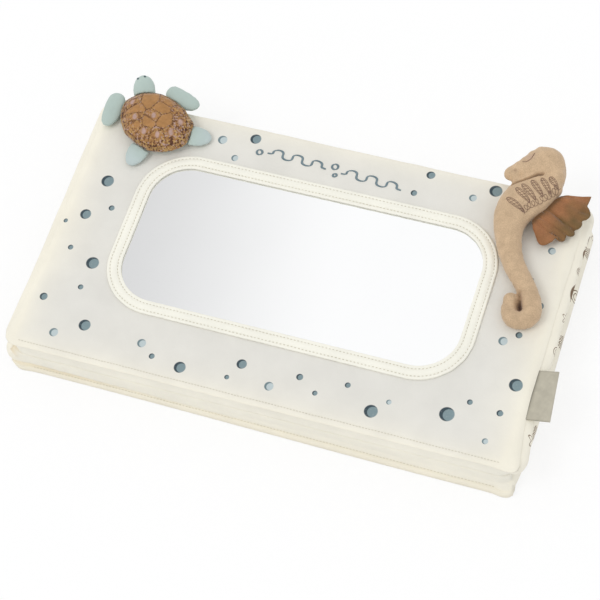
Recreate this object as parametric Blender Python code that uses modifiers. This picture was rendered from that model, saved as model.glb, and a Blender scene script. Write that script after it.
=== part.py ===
"""Folding fabric floor mirror for a baby, lying folded flat.

Two padded panels open like a tent about their back edge. The upper one carries an unbreakable
mirror under a sewn trim, a stuffed turtle and a stuffed seahorse. A cloth web folds in between
the panels at the front. +X is to the right, +Y towards the mirror's top edge, +Z up, and the
origin is the middle of the lower panel's underside.
"""

import math

import bmesh
import bpy
import numpy as np
from mathutils import Matrix, Vector

# Panels, seam to seam
panel_width = 0.390
panel_depth = 0.227
panel_thickness = 0.0205
panel_corner_radius = 0.010
side_bulge = 0.0065
end_bulge = 0.0012
hem_depth = 0.0045
face_crown = 0.0016
fold_gap = 0.003
cloth_thickness = 0.001
seat_gap = 0.0003

# What the panels hold
board_thickness = 0.002
board_margin = 0.012
board_corner_radius = 0.015

# Mirror and its trim
mirror_centre_y = 0.0061
trim_side_margin = 0.0508
trim_end_margin = 0.0432
trim_corner_radius = 0.0423
trim_width = 0.0111
trim_height = 0.0022
mirror_thickness = 0.0015
mirror_lift = 0.001
mirror_tuck = 0.005
backing_thickness = 0.001
window_tuck = 0.0035

# Web and spine cloth across the fold
web_width = 0.372
web_cloth = 0.0007
web_leaf = 0.058
web_sag = 0.0014
spine_width = 0.372
spine_crease = 0.001
spine_end_margin = 0.004

# Woven side tag
tag_length = 0.040
tag_reach = 0.0135
tag_cloth = 0.0005
tag_fold_height = 0.0007
tag_from_front = 0.0625
tag_drop = 0.0026
tag_seam_gap = 0.0006

# Turtle, sewn on at the back left corner
turtle_from_side = 0.0467
turtle_from_back = 0.0195
turtle_half_length = 0.0322
turtle_half_width = 0.0243
turtle_dome_height = 0.0140
turtle_belly_depth = 0.0042
turtle_belly_inset = 0.004
squeaker_radius = 0.010
squeaker_height = 0.0055
limb_gap = 0.0005
limb_thickness = 0.0066
limb_droop = 0.0018
limb_rest_gap = 0.0006
flipper_length = 0.031
flipper_width = 0.0160
hind_flipper_length = 0.0165
hind_flipper_width = 0.0180
turtle_head_length = 0.0182
turtle_head_width = 0.0180
turtle_head_thickness = 0.0115

# Seahorse, sewn on at the right side
seahorse_from_side = 0.0445
seahorse_from_back = 0.0435
seahorse_length = 0.150
seahorse_width = 0.0345
seahorse_flatten = 0.0012
seahorse_head_length = 0.0468
seahorse_head_width = 0.0292
seahorse_head_lift = 0.001
fin_reach = 0.0315
fin_cloth = 0.0014
fin_pleat = 0.0011
fin_drop = 0.005

# How finely the soft forms are drawn
corner_steps = 4
trim_corner_steps = 8
long_steps = 10
short_steps = 6
limb_sides = 12
web_columns = 12
fin_lobes = 5
fin_lobe_steps = 4
fin_rows = 5
crease_degrees = 50
split_corners = 5

# Levels, from the floor up
rear_top = panel_thickness
front_base = rear_top + fold_gap
seam_height = front_base + panel_thickness
hinge_height = rear_top + fold_gap / 2
toy_seat = seam_height + face_crown + seat_gap

# Where the mirror's trim, the toys and the tag are sewn on
trim_half_width = panel_width / 2 - trim_side_margin
trim_half_depth = panel_depth / 2 - trim_end_margin
turtle_x = turtle_from_side - panel_width / 2
turtle_y = panel_depth / 2 - turtle_from_back
seahorse_x = panel_width / 2 - seahorse_from_side
seahorse_y = panel_depth / 2 - seahorse_from_back
tag_y = tag_from_front - panel_depth / 2

# Height along a panel's wall from its lining to its face seam, and how far the wall stands out there
wall_height_shares = (0.0, 0.14, 0.38, 0.64, 0.86, 1.0)
wall_bulge_shares = (-0.9, -0.2, 0.7, 1.0, 0.6, 0.0)

# From the face's outline in to the window, and the crown there
face_inward_shares = (0.0, 0.05, 0.18, 0.5, 1.0)
face_crown_shares = (0.0, 0.4, 0.8, 1.0, 0.85)

# Trim's cross-section: across its width, and up its height
trim_profile_shares = (
    (-0.5, 0.0), (-0.5, 0.5), (-0.32, 0.92), (0.0, 1.0), (0.32, 0.92), (0.5, 0.5), (0.5, 0.0),
)

# Turtle shell: radius and height of its rings from the rim up, and of the belly's from the rim down
dome_shares = ((1.0, 0.0), (0.985, 0.2), (0.91, 0.47), (0.76, 0.72), (0.53, 0.9), (0.27, 0.98), (0.06, 1.0))
belly_shares = ((0.97, 0.0), (0.95, 0.3), (0.84, 0.68), (0.66, 1.0))
shell_corner_share = 0.035
shell_corners = 6
shell_turn_share = 0.436

# A limb's stations: along it, out from its line, half width and half thickness
flipper_shares = (
    (-0.50, 0.08, 0.12, 0.10), (-0.47, 0.06, 0.27, 0.24), (-0.38, 0.04, 0.42, 0.38), (-0.2, 0.0, 0.50, 0.48),
    (0.05, 0.0, 0.5, 0.5), (0.27, 0.0, 0.44, 0.46), (0.41, 0.03, 0.33, 0.36), (0.48, 0.05, 0.18, 0.2),
    (0.5, 0.06, 0.05, 0.07),
)
hind_flipper_shares = (
    (-0.45, 0.0, 0.42, 0.25), (0.0, 0.0, 0.5, 0.36), (0.3, 0.0, 0.49, 0.48),
    (0.6, 0.0, 0.43, 0.46), (0.85, 0.0, 0.29, 0.32), (0.96, 0.0, 0.15, 0.18), (1.0, 0.0, 0.04, 0.06),
)
turtle_head_shares = (
    (-0.35, 0.0, 0.44, 0.3), (0.0, 0.0, 0.49, 0.42), (0.3, 0.0, 0.5, 0.49), (0.55, 0.0, 0.46, 0.5),
    (0.75, 0.0, 0.38, 0.45), (0.9, 0.0, 0.25, 0.33), (0.98, 0.0, 0.12, 0.17), (1.0, 0.0, 0.04, 0.06),
)

# Where each limb's seam lies on the shell, the way the seam faces and the way the limb runs, as
# shares of a turn, and how far out its line lies as a share of its width
limb_place_shares = {
    "turtle_head": (0.3535, 0.318, 0.318, 0.0),
    "turtle_flipper_front_left": (0.4767, 0.4985, 0.7485, 0.46),
    "turtle_flipper_front_right": (0.176, 0.203, 0.953, 0.38),
    "turtle_flipper_rear_left": (0.720, 0.707, 0.707, 0.0),
    "turtle_flipper_rear_right": (0.985, 0.015, 0.015, 0.0),
}

# Seahorse from neck to curled tail end: across and along its length, half width and half thickness
seahorse_shares = (
    (0.078, 0.425, 0.22, 0.22), (0.092, 0.370, 0.29, 0.27), (0.056, 0.288, 0.45, 0.30),
    (0.004, 0.199, 0.50, 0.32), (-0.040, 0.110, 0.44, 0.32), (-0.046, 0.028, 0.36, 0.30),
    (-0.026, -0.055, 0.295, 0.275), (0.006, -0.136, 0.250, 0.245), (0.056, -0.210, 0.232, 0.230),
    (0.114, -0.276, 0.222, 0.224), (0.163, -0.344, 0.216, 0.220),
)

# The tail's curl about its middle: turn, radius, half width and half thickness
curl_middle_shares = (0.130, -0.413)
curl_shares = (
    (0.030, 0.0585, 0.210, 0.216), (-0.083, 0.0585, 0.203, 0.211), (-0.208, 0.0585, 0.193, 0.206),
    (-0.333, 0.0585, 0.182, 0.198), (-0.458, 0.0585, 0.172, 0.186), (-0.542, 0.060, 0.156, 0.172),
    (-0.583, 0.063, 0.148, 0.158), (-0.622, 0.066, 0.095, 0.110), (-0.644, 0.067, 0.040, 0.050),
)
seahorse_stations_each = 3
seahorse_body_rows = 7

# Head along its axis from the back of the skull to the nose: along, across, half width, half thickness
seahorse_head_shares = (
    (0.0, 0.0, 0.06, 0.06), (0.03, 0.0, 0.22, 0.2), (0.1, 0.0, 0.37, 0.32), (0.2, 0.0, 0.47, 0.39),
    (0.31, 0.0, 0.5, 0.41), (0.45, -0.01, 0.44, 0.37), (0.6, -0.03, 0.34, 0.3), (0.76, -0.04, 0.24, 0.23),
    (0.9, -0.04, 0.185, 0.19), (0.97, -0.04, 0.13, 0.14), (1.0, -0.04, 0.05, 0.06),
)
seahorse_head_place_shares = (0.121, 0.446)
seahorse_head_turn_share = 0.594

# Fin: its root's ends along the body, its height, the way it fans, and its edge between the tips
fin_root_shares = (0.238, 0.524)
fin_level_share = 0.32
fin_heading_share = -0.049
fin_spread_share = 0.18
fin_edge_dip_share = 0.15
fin_outline_shares = (0.64, 0.87, 1.0, 0.92, 0.68)

# Colours are linear
cream = (0.86, 0.83, 0.75)
white_cotton = (0.86, 0.85, 0.80)
trim_cream = (0.87, 0.84, 0.74)
printed_cream = (0.84, 0.80, 0.71)
mirror_grey = (0.82, 0.84, 0.86)
foam_white = (0.80, 0.80, 0.78)
board_grey = (0.45, 0.43, 0.40)
caramel = (0.33, 0.15, 0.055)
sage = (0.50, 0.60, 0.56)
pale_blue = (0.50, 0.62, 0.64)
tan = (0.56, 0.40, 0.26)
fin_brown = (0.34, 0.17, 0.08)
taupe = (0.43, 0.39, 0.31)
plastic_white = (0.75, 0.75, 0.72)


def clear_scene():
    """Remove whatever the file holds, so that the part starts from nothing."""
    for thing in list(bpy.data.objects):
        bpy.data.objects.remove(thing, do_unlink=True)


def new_collection(name):
    """A collection of that name, linked to the scene."""
    made = bpy.data.collections.new(name)
    bpy.context.scene.collection.children.link(made)
    return made


def finish_of(name, colour, roughness, metallic=0.0):
    """A plain material in the sub-part's colour."""
    made = bpy.data.materials.new(name)
    made.use_nodes = True
    shader = made.node_tree.nodes["Principled BSDF"]
    shader.inputs["Base Color"].default_value = (*colour, 1.0)
    shader.inputs["Roughness"].default_value = roughness
    shader.inputs["Metallic"].default_value = metallic
    made.diffuse_color = (*colour, 1.0)
    return made


def object_from(name, bm, material, home, pivot=None):
    """Turn a bmesh into a named object, its origin at the pivot, with smooth soft forms."""
    bmesh.ops.recalc_face_normals(bm, faces=bm.faces)
    mesh = bpy.data.meshes.new(name)
    bm.to_mesh(mesh)
    bm.free()
    mesh.shade_smooth()
    mesh.set_sharp_from_angle(angle=math.radians(crease_degrees))
    made = bpy.data.objects.new(name, mesh)
    home.objects.link(made)
    mesh.materials.append(material)
    if pivot is not None:
        mesh.transform(Matrix.Translation(-Vector(pivot)))
        made.location = pivot
    return made


def loft(rings, joined=False):
    """Skin rings of points. The ends are capped, or the last ring joins the first."""
    bm = bmesh.new()
    rows = [[bm.verts.new(point) for point in ring] for ring in rings]
    pairs = list(zip(rows, rows[1:]))
    if joined:
        pairs.append((rows[-1], rows[0]))
    for lower, upper in pairs:
        for here in range(len(lower)):
            after = (here + 1) % len(lower)
            bm.faces.new((lower[here], lower[after], upper[after], upper[here]))
    if not joined:
        bm.faces.new(rows[0])
        bm.faces.new(rows[-1])
    return bm


def rounded_ring(outline, z, steps=corner_steps):
    """Points round a rectangle with round corners: outline is half width, front, back and radius."""
    half, front, back, radius = outline
    points = []
    corners = (
        (half, back, 0.0, long_steps),
        (-half, back, 0.25, short_steps),
        (-half, front, 0.5, long_steps),
        (half, front, 0.75, short_steps),
    )
    turned = []
    for x, y, start, _ in corners:
        centre = Vector((x - math.copysign(radius, x), y - math.copysign(radius, y - (front + back) / 2)))
        arc = []
        for step in range(steps + 1):
            angle = math.tau * (start + 0.25 * step / steps)
            arc.append(centre + radius * Vector((math.cos(angle), math.sin(angle))))
        turned.append(arc)
    for place, arc in enumerate(turned):
        points.extend(arc)
        following = turned[(place + 1) % len(turned)][0]
        for step in range(1, corners[place][3]):
            points.append(arc[-1].lerp(following, step / corners[place][3]))
    return [Vector((p.x, p.y, z)) for p in points]


def grown(outline, by):
    """The outline moved outwards by a length on every side."""
    half, front, back, radius = outline
    return (half + by, front - by, back + by, radius + by)


def mixed(first, second, share):
    """The outline between two outlines."""
    return tuple(a + (b - a) * share for a, b in zip(first, second))


seam_outline = (panel_width / 2, -panel_depth / 2, panel_depth / 2, panel_corner_radius)
wall_outline = (
    panel_width / 2,
    -panel_depth / 2 + hem_depth + end_bulge,
    panel_depth / 2 - cloth_thickness - seat_gap - end_bulge,
    panel_corner_radius,
)
trim_path = (
    trim_half_width - trim_width / 2,
    mirror_centre_y - trim_half_depth + trim_width / 2,
    mirror_centre_y + trim_half_depth - trim_width / 2,
    trim_corner_radius - trim_width / 2,
)
window_outline = grown(trim_path, trim_width / 2 - window_tuck)
mirror_outline = grown(trim_path, trim_width / 2 - mirror_tuck - seat_gap)
wall_rise = panel_thickness - 2 * (cloth_thickness + seat_gap)


def wall_ring(height, inset=0.0, flipped=False):
    """The panel wall's ring at a height above its lining side, moved in by an inset."""
    share = (height - cloth_thickness - seat_gap) / wall_rise
    bulge = float(np.interp(share, wall_height_shares, wall_bulge_shares))
    half, front, back, radius = wall_outline
    outline = (
        half + side_bulge * bulge - inset,
        front - end_bulge * bulge + inset,
        back + end_bulge * bulge - inset,
        radius - min(inset, radius / 2),
    )
    level = panel_thickness - height if flipped else front_base + height
    return rounded_ring(outline, level)


def wall_heights(low, high):
    """Heights at which a wall is drawn, from low to high above the panel's lining side."""
    span = [cloth_thickness + seat_gap + wall_rise * share for share in wall_height_shares]
    return [low] + [height for height in span if low < height < high] + [high]


def band(name, material, home, flipped):
    """The cloth band that goes round a panel's sides, an open hoop."""
    low = cloth_thickness + seat_gap
    high = panel_thickness - cloth_thickness - seat_gap
    heights = wall_heights(low, high)
    outer = [wall_ring(height, 0.0, flipped=flipped) for height in heights]
    inner = [wall_ring(height, cloth_thickness, flipped=flipped) for height in reversed(heights)]
    return object_from(name, loft(outer + inner, joined=True), material, home)


def lining(name, material, home, flipped):
    """The flat cloth on the panel side that faces the fold."""
    outline = wall_ring(cloth_thickness + seat_gap)
    low, high = (front_base, front_base + cloth_thickness)
    if flipped:
        low, high = (rear_top - cloth_thickness, rear_top)
    rings = [[Vector((p.x, p.y, z)) for p in outline] for z in (low, high)]
    return object_from(name, loft(rings), material, home)


def face_height(inward):
    """Crown of the face above its seam, at a share of the way from the outline to the window."""
    return face_crown * float(np.interp(inward, face_inward_shares, face_crown_shares))


def front_face(material, home):
    """The printed face: a crowned cloth with the mirror's window, and a hem past the front wall."""
    top = []
    under = []
    for inward in face_inward_shares:
        outline = mixed(seam_outline, window_outline, inward)
        level = seam_height + face_height(inward)
        top.append(rounded_ring(outline, level))
        under.append(rounded_ring(outline, level - cloth_thickness))
    return object_from("front_face", loft(top + under[::-1], joined=True), material, home)


def front_foam(material, home):
    """The upper panel's pad, with the shallow pocket that the mirror and its backing lie in."""
    inset = cloth_thickness + seat_gap
    low = cloth_thickness + board_thickness + 2 * seat_gap
    high = panel_thickness - 2 * inset
    rings = [wall_ring(height, inset) for height in wall_heights(low, high)]
    pocket = grown(window_outline, -seat_gap)
    rim = (
        seam_outline[0] - inset,
        wall_outline[1] + inset,
        wall_outline[2] - inset,
        panel_corner_radius,
    )
    for inward in face_inward_shares[1:]:
        level = seam_height + face_height(inward) - inset
        rings.append(rounded_ring(mixed(rim, pocket, inward), level))
    floor = seam_height + mirror_lift - mirror_thickness - backing_thickness - 2 * seat_gap
    rings.append(rounded_ring(pocket, floor))
    return object_from("front_foam", loft(rings), material, home)


def slab(name, outline, low, high, material, home, steps=corner_steps):
    """A flat sheet with round corners."""
    rings = [rounded_ring(outline, z, steps) for z in (low, high)]
    return object_from(name, loft(rings), material, home)


def board_outline():
    """The stiffener's outline, set in from the walls."""
    half, front, back, _ = wall_outline
    return (half - board_margin, front + board_margin, back - board_margin, board_corner_radius)


def mirror_trim(material, home):
    """The padded ring sewn over the mirror's edge."""
    base = seam_height + face_crown + seat_gap
    rings = []
    for across, up in trim_profile_shares:
        outline = grown(trim_path, across * trim_width)
        rings.append(rounded_ring(outline, base + up * trim_height, trim_corner_steps))
    return object_from("mirror_trim", loft(rings, joined=True), material, home)


def rear_cover(material, home):
    """The printed cloth under the lower panel, with a hem past the front wall."""
    rings = [rounded_ring(seam_outline, z) for z in (0.0, cloth_thickness)]
    return object_from("rear_cover", loft(rings), material, home)


def rear_foam(material, home):
    """The lower panel's pad."""
    inset = cloth_thickness + seat_gap
    low = cloth_thickness + board_thickness + 2 * seat_gap
    high = panel_thickness - inset
    rings = [wall_ring(height, inset, flipped=True) for height in wall_heights(low, high)]
    return object_from("rear_foam", loft(rings), material, home)


def sheet(name, grid, thickness, material, home, pivot=None):
    """A cloth from a grid of points, thickened evenly."""
    bm = bmesh.new()
    rows = [[bm.verts.new(point) for point in row] for row in grid]
    for row, following in zip(rows, rows[1:]):
        for here in range(len(row) - 1):
            bm.faces.new((row[here], row[here + 1], following[here + 1], following[here]))
    made = object_from(name, bm, material, home, pivot)
    solid = made.modifiers.new("Cloth thickness", "SOLIDIFY")
    solid.thickness = thickness
    solid.offset = 0.0
    solid.use_even_offset = True
    return made


def base_web(material, home):
    """The cloth between the two front hems, folded in between the panels as two leaves."""
    half_cloth = web_cloth / 2
    out = -panel_depth / 2 + half_cloth
    wall = -panel_depth / 2 + hem_depth - seat_gap - half_cloth
    top = seam_height - cloth_thickness - seat_gap - half_cloth
    foot = cloth_thickness + seat_gap + half_cloth
    upper = front_base - seat_gap - half_cloth
    lower = rear_top + seat_gap + half_cloth
    fold = wall + web_leaf
    middle = (upper + lower) / 2
    turn = (upper - lower) / 2
    grid = []
    for column in range(web_columns + 1):
        share = column / web_columns
        x = web_width * (share - 0.5)
        sag = web_sag * math.sin(math.pi * share) ** 2
        grid.append([
            Vector((x, out, top)),
            Vector((x, (out + wall) / 2, top - web_cloth)),
            Vector((x, wall, top - hem_depth / 2)),
            Vector((x, wall - sag / 2, (top + upper) / 2)),
            Vector((x, wall, upper + hem_depth / 2)),
            Vector((x, wall + turn, upper + turn / 2)),
            Vector((x, wall + hem_depth, upper)),
            Vector((x, (wall + fold) / 2, upper)),
            Vector((x, fold - turn, upper)),
            Vector((x, fold, middle)),
            Vector((x, fold - turn, lower)),
            Vector((x, (wall + fold) / 2, lower)),
            Vector((x, wall + hem_depth, lower)),
            Vector((x, wall + turn, lower - turn / 2)),
            Vector((x, wall, lower - hem_depth / 2)),
            Vector((x, wall - sag, (foot + lower) / 2)),
            Vector((x, wall - sag / 2, foot + hem_depth / 2)),
            Vector((x, (out + wall) / 2, foot + web_cloth)),
            Vector((x, out, foot)),
        ])
    return sheet("base_web", grid, web_cloth, material, home)


def hinge_spine(material, home):
    """The cloth across the back edge, which both panels turn about."""
    outer = panel_depth / 2 - cloth_thickness / 2
    low = spine_end_margin
    high = seam_height - spine_end_margin
    quarter = (high - low) / 4
    profile = (
        (outer, low),
        (outer, low + quarter),
        (outer - spine_crease / 2, hinge_height - quarter / 2),
        (outer - spine_crease, hinge_height),
        (outer - spine_crease / 2, hinge_height + quarter / 2),
        (outer, high - quarter),
        (outer, high),
    )
    grid = []
    for column in range(web_columns + 1):
        x = spine_width * (column / web_columns - 0.5)
        grid.append([Vector((x, y, z)) for y, z in profile])
    return sheet("hinge_spine", grid, cloth_thickness, material, home)


def tag_pivot():
    """The side tag's seam, just outside the band's wall under the face."""
    height = panel_thickness - tag_drop
    underside = height - tag_fold_height / 2 - tag_cloth
    share = (underside - cloth_thickness - seat_gap) / wall_rise
    bulge = float(np.interp(share, wall_height_shares, wall_bulge_shares))
    reach = panel_width / 2 + side_bulge * max(bulge, 0.0) + tag_seam_gap
    return Vector((reach, tag_y, front_base + height))


def side_tag(material, home):
    """The folded woven tag in the right side's seam."""
    pivot = tag_pivot()
    start = pivot.x + tag_cloth / 2
    end = pivot.x + tag_reach
    half = tag_fold_height / 2 + tag_cloth / 2
    profile = (
        (start, half), (start + tag_reach / 2, half), (end - half, half), (end, 0.0),
        (end - half, -half), (start + tag_reach / 2, -half), (start, -half),
    )
    grid = []
    for side in (-1, 1):
        y = tag_y + side * tag_length / 2
        grid.append([Vector((x, y, pivot.z + up)) for x, up in profile])
    return sheet("side_tag", grid, tag_cloth, material, home, pivot)


def shell_radius(angle):
    """The turtle shell's outline, an oval with six soft corners."""
    local = angle - math.tau * shell_turn_share
    oval = 1 / math.hypot(math.cos(local) / turtle_half_length, math.sin(local) / turtle_half_width)
    corner = shell_corner_share * max(0.0, math.cos(shell_corners * local)) ** 2
    return oval * (1 - shell_corner_share / 2 + corner)


def shell_ring(radius_share, z, grow=0.0):
    """A ring of the shell's outline, shrunk to a share of its radius."""
    ring = []
    count = 4 * limb_sides
    for step in range(count):
        angle = math.tau * step / count
        reach = shell_radius(angle) * radius_share + grow
        ring.append(Vector((turtle_x + reach * math.cos(angle), turtle_y + reach * math.sin(angle), z)))
    return ring


turtle_rim = toy_seat + turtle_belly_depth


def shell_bmesh():
    """The domed back, with a pocket underneath for the squeaker."""
    base = turtle_rim + seat_gap
    pocket = []
    for z in (base + squeaker_height + seat_gap, base):
        ring = []
        for step in range(4 * limb_sides):
            angle = math.tau * step / (4 * limb_sides)
            reach = Vector((math.cos(angle), math.sin(angle), 0.0)) * squeaker_radius
            ring.append(Vector((turtle_x, turtle_y, z)) + reach)
        pocket.append(ring)
    return loft(pocket + dome_rings())


def belly_bmesh():
    """The flatter underside, cut flat where it is sewn to the panel."""
    return loft(belly_rings())


def belly_rings(grow=0.0):
    """The belly's rings from the rim down."""
    rings = []
    for radius, down in belly_shares:
        level = turtle_rim - down * turtle_belly_depth - (grow if down else 0.0)
        rings.append(shell_ring(radius, level, grow - turtle_belly_inset * down))
    return rings


def dome_rings(grow=0.0):
    """The dome's rings from the rim up."""
    rings = []
    for radius, up in dome_shares:
        level = turtle_rim + seat_gap + up * turtle_dome_height + (grow if up else 0.0)
        rings.append(shell_ring(radius, level, grow))
    return rings


def limb_cutter():
    """Dome and belly in one, grown by the limbs' clearance."""
    return loft(belly_rings(limb_gap)[::-1] + dome_rings(limb_gap))


def squeaker(material, home):
    """The squeaker disc in the stuffing, a plain can."""
    bm = bmesh.new()
    bmesh.ops.create_cone(
        bm, cap_ends=True, segments=2 * limb_sides, radius1=squeaker_radius - seat_gap,
        radius2=squeaker_radius - seat_gap, depth=squeaker_height,
    )
    middle = turtle_rim + seat_gap + squeaker_height / 2
    bm.transform(Matrix.Translation((turtle_x, turtle_y, middle)))
    return object_from("turtle_squeaker", bm, material, home)


def stuffed(stations, sides=limb_sides, floor=None):
    """A stuffed form through stations of centre, side direction, half width and half thickness."""
    rings = []
    for centre, side, half_width, half_thickness in stations:
        ring = []
        for step in range(sides):
            angle = math.tau * step / sides
            point = centre + side * (half_width * math.cos(angle))
            point = point + Vector((0.0, 0.0, half_thickness * math.sin(angle)))
            if floor is not None:
                point.z = max(point.z, floor)
            ring.append(point)
        rings.append(ring)
    return loft(rings)


def heading(turn_share):
    """The level direction at a share of a turn from +X."""
    return Vector((math.cos(math.tau * turn_share), math.sin(math.tau * turn_share), 0.0))


def limb_root(place, gap, level):
    """The middle of a limb's seam, a gap outside the shell at a level."""
    ups = [up for _, up in dome_shares]
    radii = [radius for radius, _ in dome_shares]
    share = float(np.interp((level - turtle_rim) / turtle_dome_height, ups, radii))
    reach = shell_radius(math.tau * place[0]) * share + gap
    return Vector((turtle_x, turtle_y, level)) + heading(place[0]) * reach


def limb_level(thickness):
    """The height of a limb's middle: at the shell's rim, or higher where it is too thick for that."""
    return max(turtle_rim, toy_seat + thickness / 2 + limb_rest_gap)


def limb_stations(place, shares, length, width, thickness):
    """A turtle limb's stations along its line, drooping towards its tip."""
    root = limb_root(place, 0.0, turtle_rim)
    root.z = limb_level(thickness)
    outward = heading(place[1])
    along = heading(place[2])
    side = Vector((-along.y, along.x, 0.0))
    stations = []
    for run, out, half_width, half_thickness in shares:
        centre = root + along * (run * length) + outward * ((place[3] + out) * width)
        centre.z -= limb_droop * max(run, 0.0) ** 2
        stations.append((centre, side, half_width * width, half_thickness * thickness))
    return stations


def cut_by(body, cutter, name, cutters):
    """Cut a piece back by a hidden larger neighbour, so that it seats against it."""
    mesh = bpy.data.meshes.new(name)
    bmesh.ops.recalc_face_normals(cutter, faces=cutter.faces)
    cutter.to_mesh(mesh)
    cutter.free()
    tool = bpy.data.objects.new(name, mesh)
    cutters.objects.link(tool)
    tool.hide_render = True
    tool.display_type = "WIRE"
    cut = body.modifiers.new(name, "BOOLEAN")
    cut.operation = "DIFFERENCE"
    cut.solver = "EXACT"
    cut.object = tool


def even_faces(body):
    """Split the many-cornered faces that a cut leaves into well-shaped triangles."""
    split = body.modifiers.new("Even faces", "TRIANGULATE")
    split.min_vertices = split_corners
    split.ngon_method = "BEAUTY"


def turtle_limbs(materials, home, cutters):
    """Head and four flippers, each cut back to the shell's and the belly's outside."""
    kinds = {
        "turtle_head": (turtle_head_shares, turtle_head_length, turtle_head_width, turtle_head_thickness),
        "front": (flipper_shares, flipper_length, flipper_width, limb_thickness),
        "rear": (hind_flipper_shares, hind_flipper_length, hind_flipper_width, limb_thickness),
    }
    for name, place in limb_place_shares.items():
        kind = next(key for key in kinds if key in name)
        shares, length, width, thickness = kinds[kind]
        stations = limb_stations(place, shares, length, width, thickness)
        pivot = limb_root(place, limb_gap, limb_level(thickness) + thickness / 2)
        made = object_from(name, stuffed(stations), materials[kind], home, pivot)
        cut_by(made, limb_cutter(), name + "_cut", cutters)
        even_faces(made)


def smooth_row(points, each):
    """Rows of numbers on a smooth curve through the given rows, with so many steps between two."""
    table = np.array(points, float)
    padded = np.vstack([2 * table[0] - table[1], table, 2 * table[-1] - table[-2]])
    rows = []
    for step in range(each * (len(table) - 1) + 1):
        here = min(step // each, len(table) - 2)
        t = step / each - here
        a, b, c, d = padded[here:here + 4]
        bend = (2 * a - 5 * b + 4 * c - d) * t * t + (3 * b - a - 3 * c + d) * t ** 3
        rows.append((2 * b + (c - a) * t + bend) / 2)
    return rows


def seahorse_point(place_shares, level=0.0):
    """A place on the seahorse, given across and along its length from its middle."""
    across, forward = place_shares[0], place_shares[1]
    return Vector((seahorse_x + across * seahorse_length, seahorse_y + forward * seahorse_length, level))


def curl_rows():
    """The rows of the tail's curl, round its middle."""
    rows = []
    for turn, radius, half_width, half_thickness in curl_shares:
        way = heading(turn) * radius
        across = curl_middle_shares[0] + way.x
        rows.append((across, curl_middle_shares[1] + way.y, half_width, half_thickness))
    return rows


def seahorse_stations():
    """Stations from neck to tail end, the underside resting on the face."""
    rows = smooth_row(list(seahorse_shares) + curl_rows(), seahorse_stations_each)
    centres = [seahorse_point(row) for row in rows]
    stations = []
    for place, row in enumerate(rows):
        before = centres[max(place - 1, 0)]
        after = centres[min(place + 1, len(rows) - 1)]
        along = (after - before).normalized()
        half_thickness = row[3] * seahorse_width
        centre = centres[place].copy()
        centre.z = toy_seat + half_thickness - min(seahorse_flatten, half_thickness / 2)
        stations.append((centre, Vector((-along.y, along.x, 0.0)), row[2] * seahorse_width, half_thickness))
    return stations


def seahorse_head_bmesh(grow=0.0):
    """The head: a round skull that narrows to the snout."""
    along = heading(seahorse_head_turn_share)
    side = Vector((-along.y, along.x, 0.0))
    start = seahorse_point(seahorse_head_place_shares)
    stations = []
    rows = seahorse_head_shares
    for place, (run, sweep, half_width, half_thickness) in enumerate(rows):
        end = grow * (-1 if place == 0 else 1 if place == len(rows) - 1 else 0)
        centre = start + along * (run * seahorse_head_length + end) + side * (sweep * seahorse_head_width)
        centre.z = toy_seat + seahorse_head_lift + seahorse_head_width * max(row[3] for row in rows)
        stations.append((centre, side, half_width * seahorse_head_width + grow,
                         half_thickness * seahorse_head_width + grow))
    return stuffed(stations, limb_sides + 4)


def fin_root(share):
    """A point just off the body's right edge, at a share of the fin's root from its upper end down."""
    stations = seahorse_body_part()
    first, last = fin_root_shares
    place = (first + (last - first) * share) * (len(stations) - 1)
    here = min(int(place), len(stations) - 2)
    above, above_side, above_width, _ = stations[here]
    below, below_side, below_width, _ = stations[here + 1]
    part = place - here
    side = above_side.lerp(below_side, part).normalized()
    point = above.lerp(below, part) + side * (above_width + (below_width - above_width) * part + limb_gap)
    point.z = toy_seat + seahorse_width * fin_level_share
    return point


def fin_frame():
    """The middle of the fin's root, and the direction along it."""
    upper = fin_root(0.0)
    lower = fin_root(1.0)
    return (upper + lower) / 2, (lower - upper).normalized()


def seahorse_fin(material, home):
    """The fan-shaped fin: pleats that run out to pointed tips."""
    middle, _ = fin_frame()
    steps = fin_lobes * fin_lobe_steps
    outline_places = [place / (len(fin_outline_shares) - 1) for place in range(len(fin_outline_shares))]
    grid = []
    for column in range(steps + 1):
        share = column / steps
        outwards = heading(fin_heading_share + fin_spread_share * (0.5 - share))
        root = fin_root(share)
        lobe = abs(math.sin(math.pi * fin_lobes * share))
        outline = float(np.interp(share, outline_places, fin_outline_shares))
        reach = fin_reach * outline * (1 - fin_edge_dip_share * lobe)
        row = []
        for place in range(fin_rows + 1):
            run = place / fin_rows
            point = root + outwards * (reach * run)
            point.z = point.z - fin_drop * run + fin_pleat * run * math.cos(math.tau * fin_lobes * share)
            row.append(point)
        grid.append(row)
    pivot = middle + Vector((0.0, 0.0, fin_cloth / 2))
    sheet("seahorse_fin", grid, fin_cloth, material, home, pivot)


def seahorse_body_part():
    """The stations of the body, from the neck to where the tail starts."""
    return seahorse_stations()[:seahorse_body_rows * seahorse_stations_each + 1]


def seahorse(materials, home, cutters):
    """Head, body and curled tail, each seated against the next."""
    object_from("seahorse_head", seahorse_head_bmesh(), materials["tan"], home)
    body = stuffed(seahorse_body_part(), limb_sides + 4, toy_seat)
    body = object_from("seahorse_body", body, materials["tan"], home)
    cut_by(body, seahorse_head_bmesh(seat_gap), "body_head_cut", cutters)
    even_faces(body)
    tail = seahorse_stations()[seahorse_body_rows * seahorse_stations_each:]
    centre, side, half_width, half_thickness = tail[0]
    along = Vector((side.y, -side.x, 0.0))
    tail[0] = (centre + along * seat_gap, side, half_width, half_thickness)
    object_from("seahorse_tail", stuffed(tail, limb_sides, toy_seat), materials["tan"], home)
    seahorse_fin(materials["fin"], home)


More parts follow.
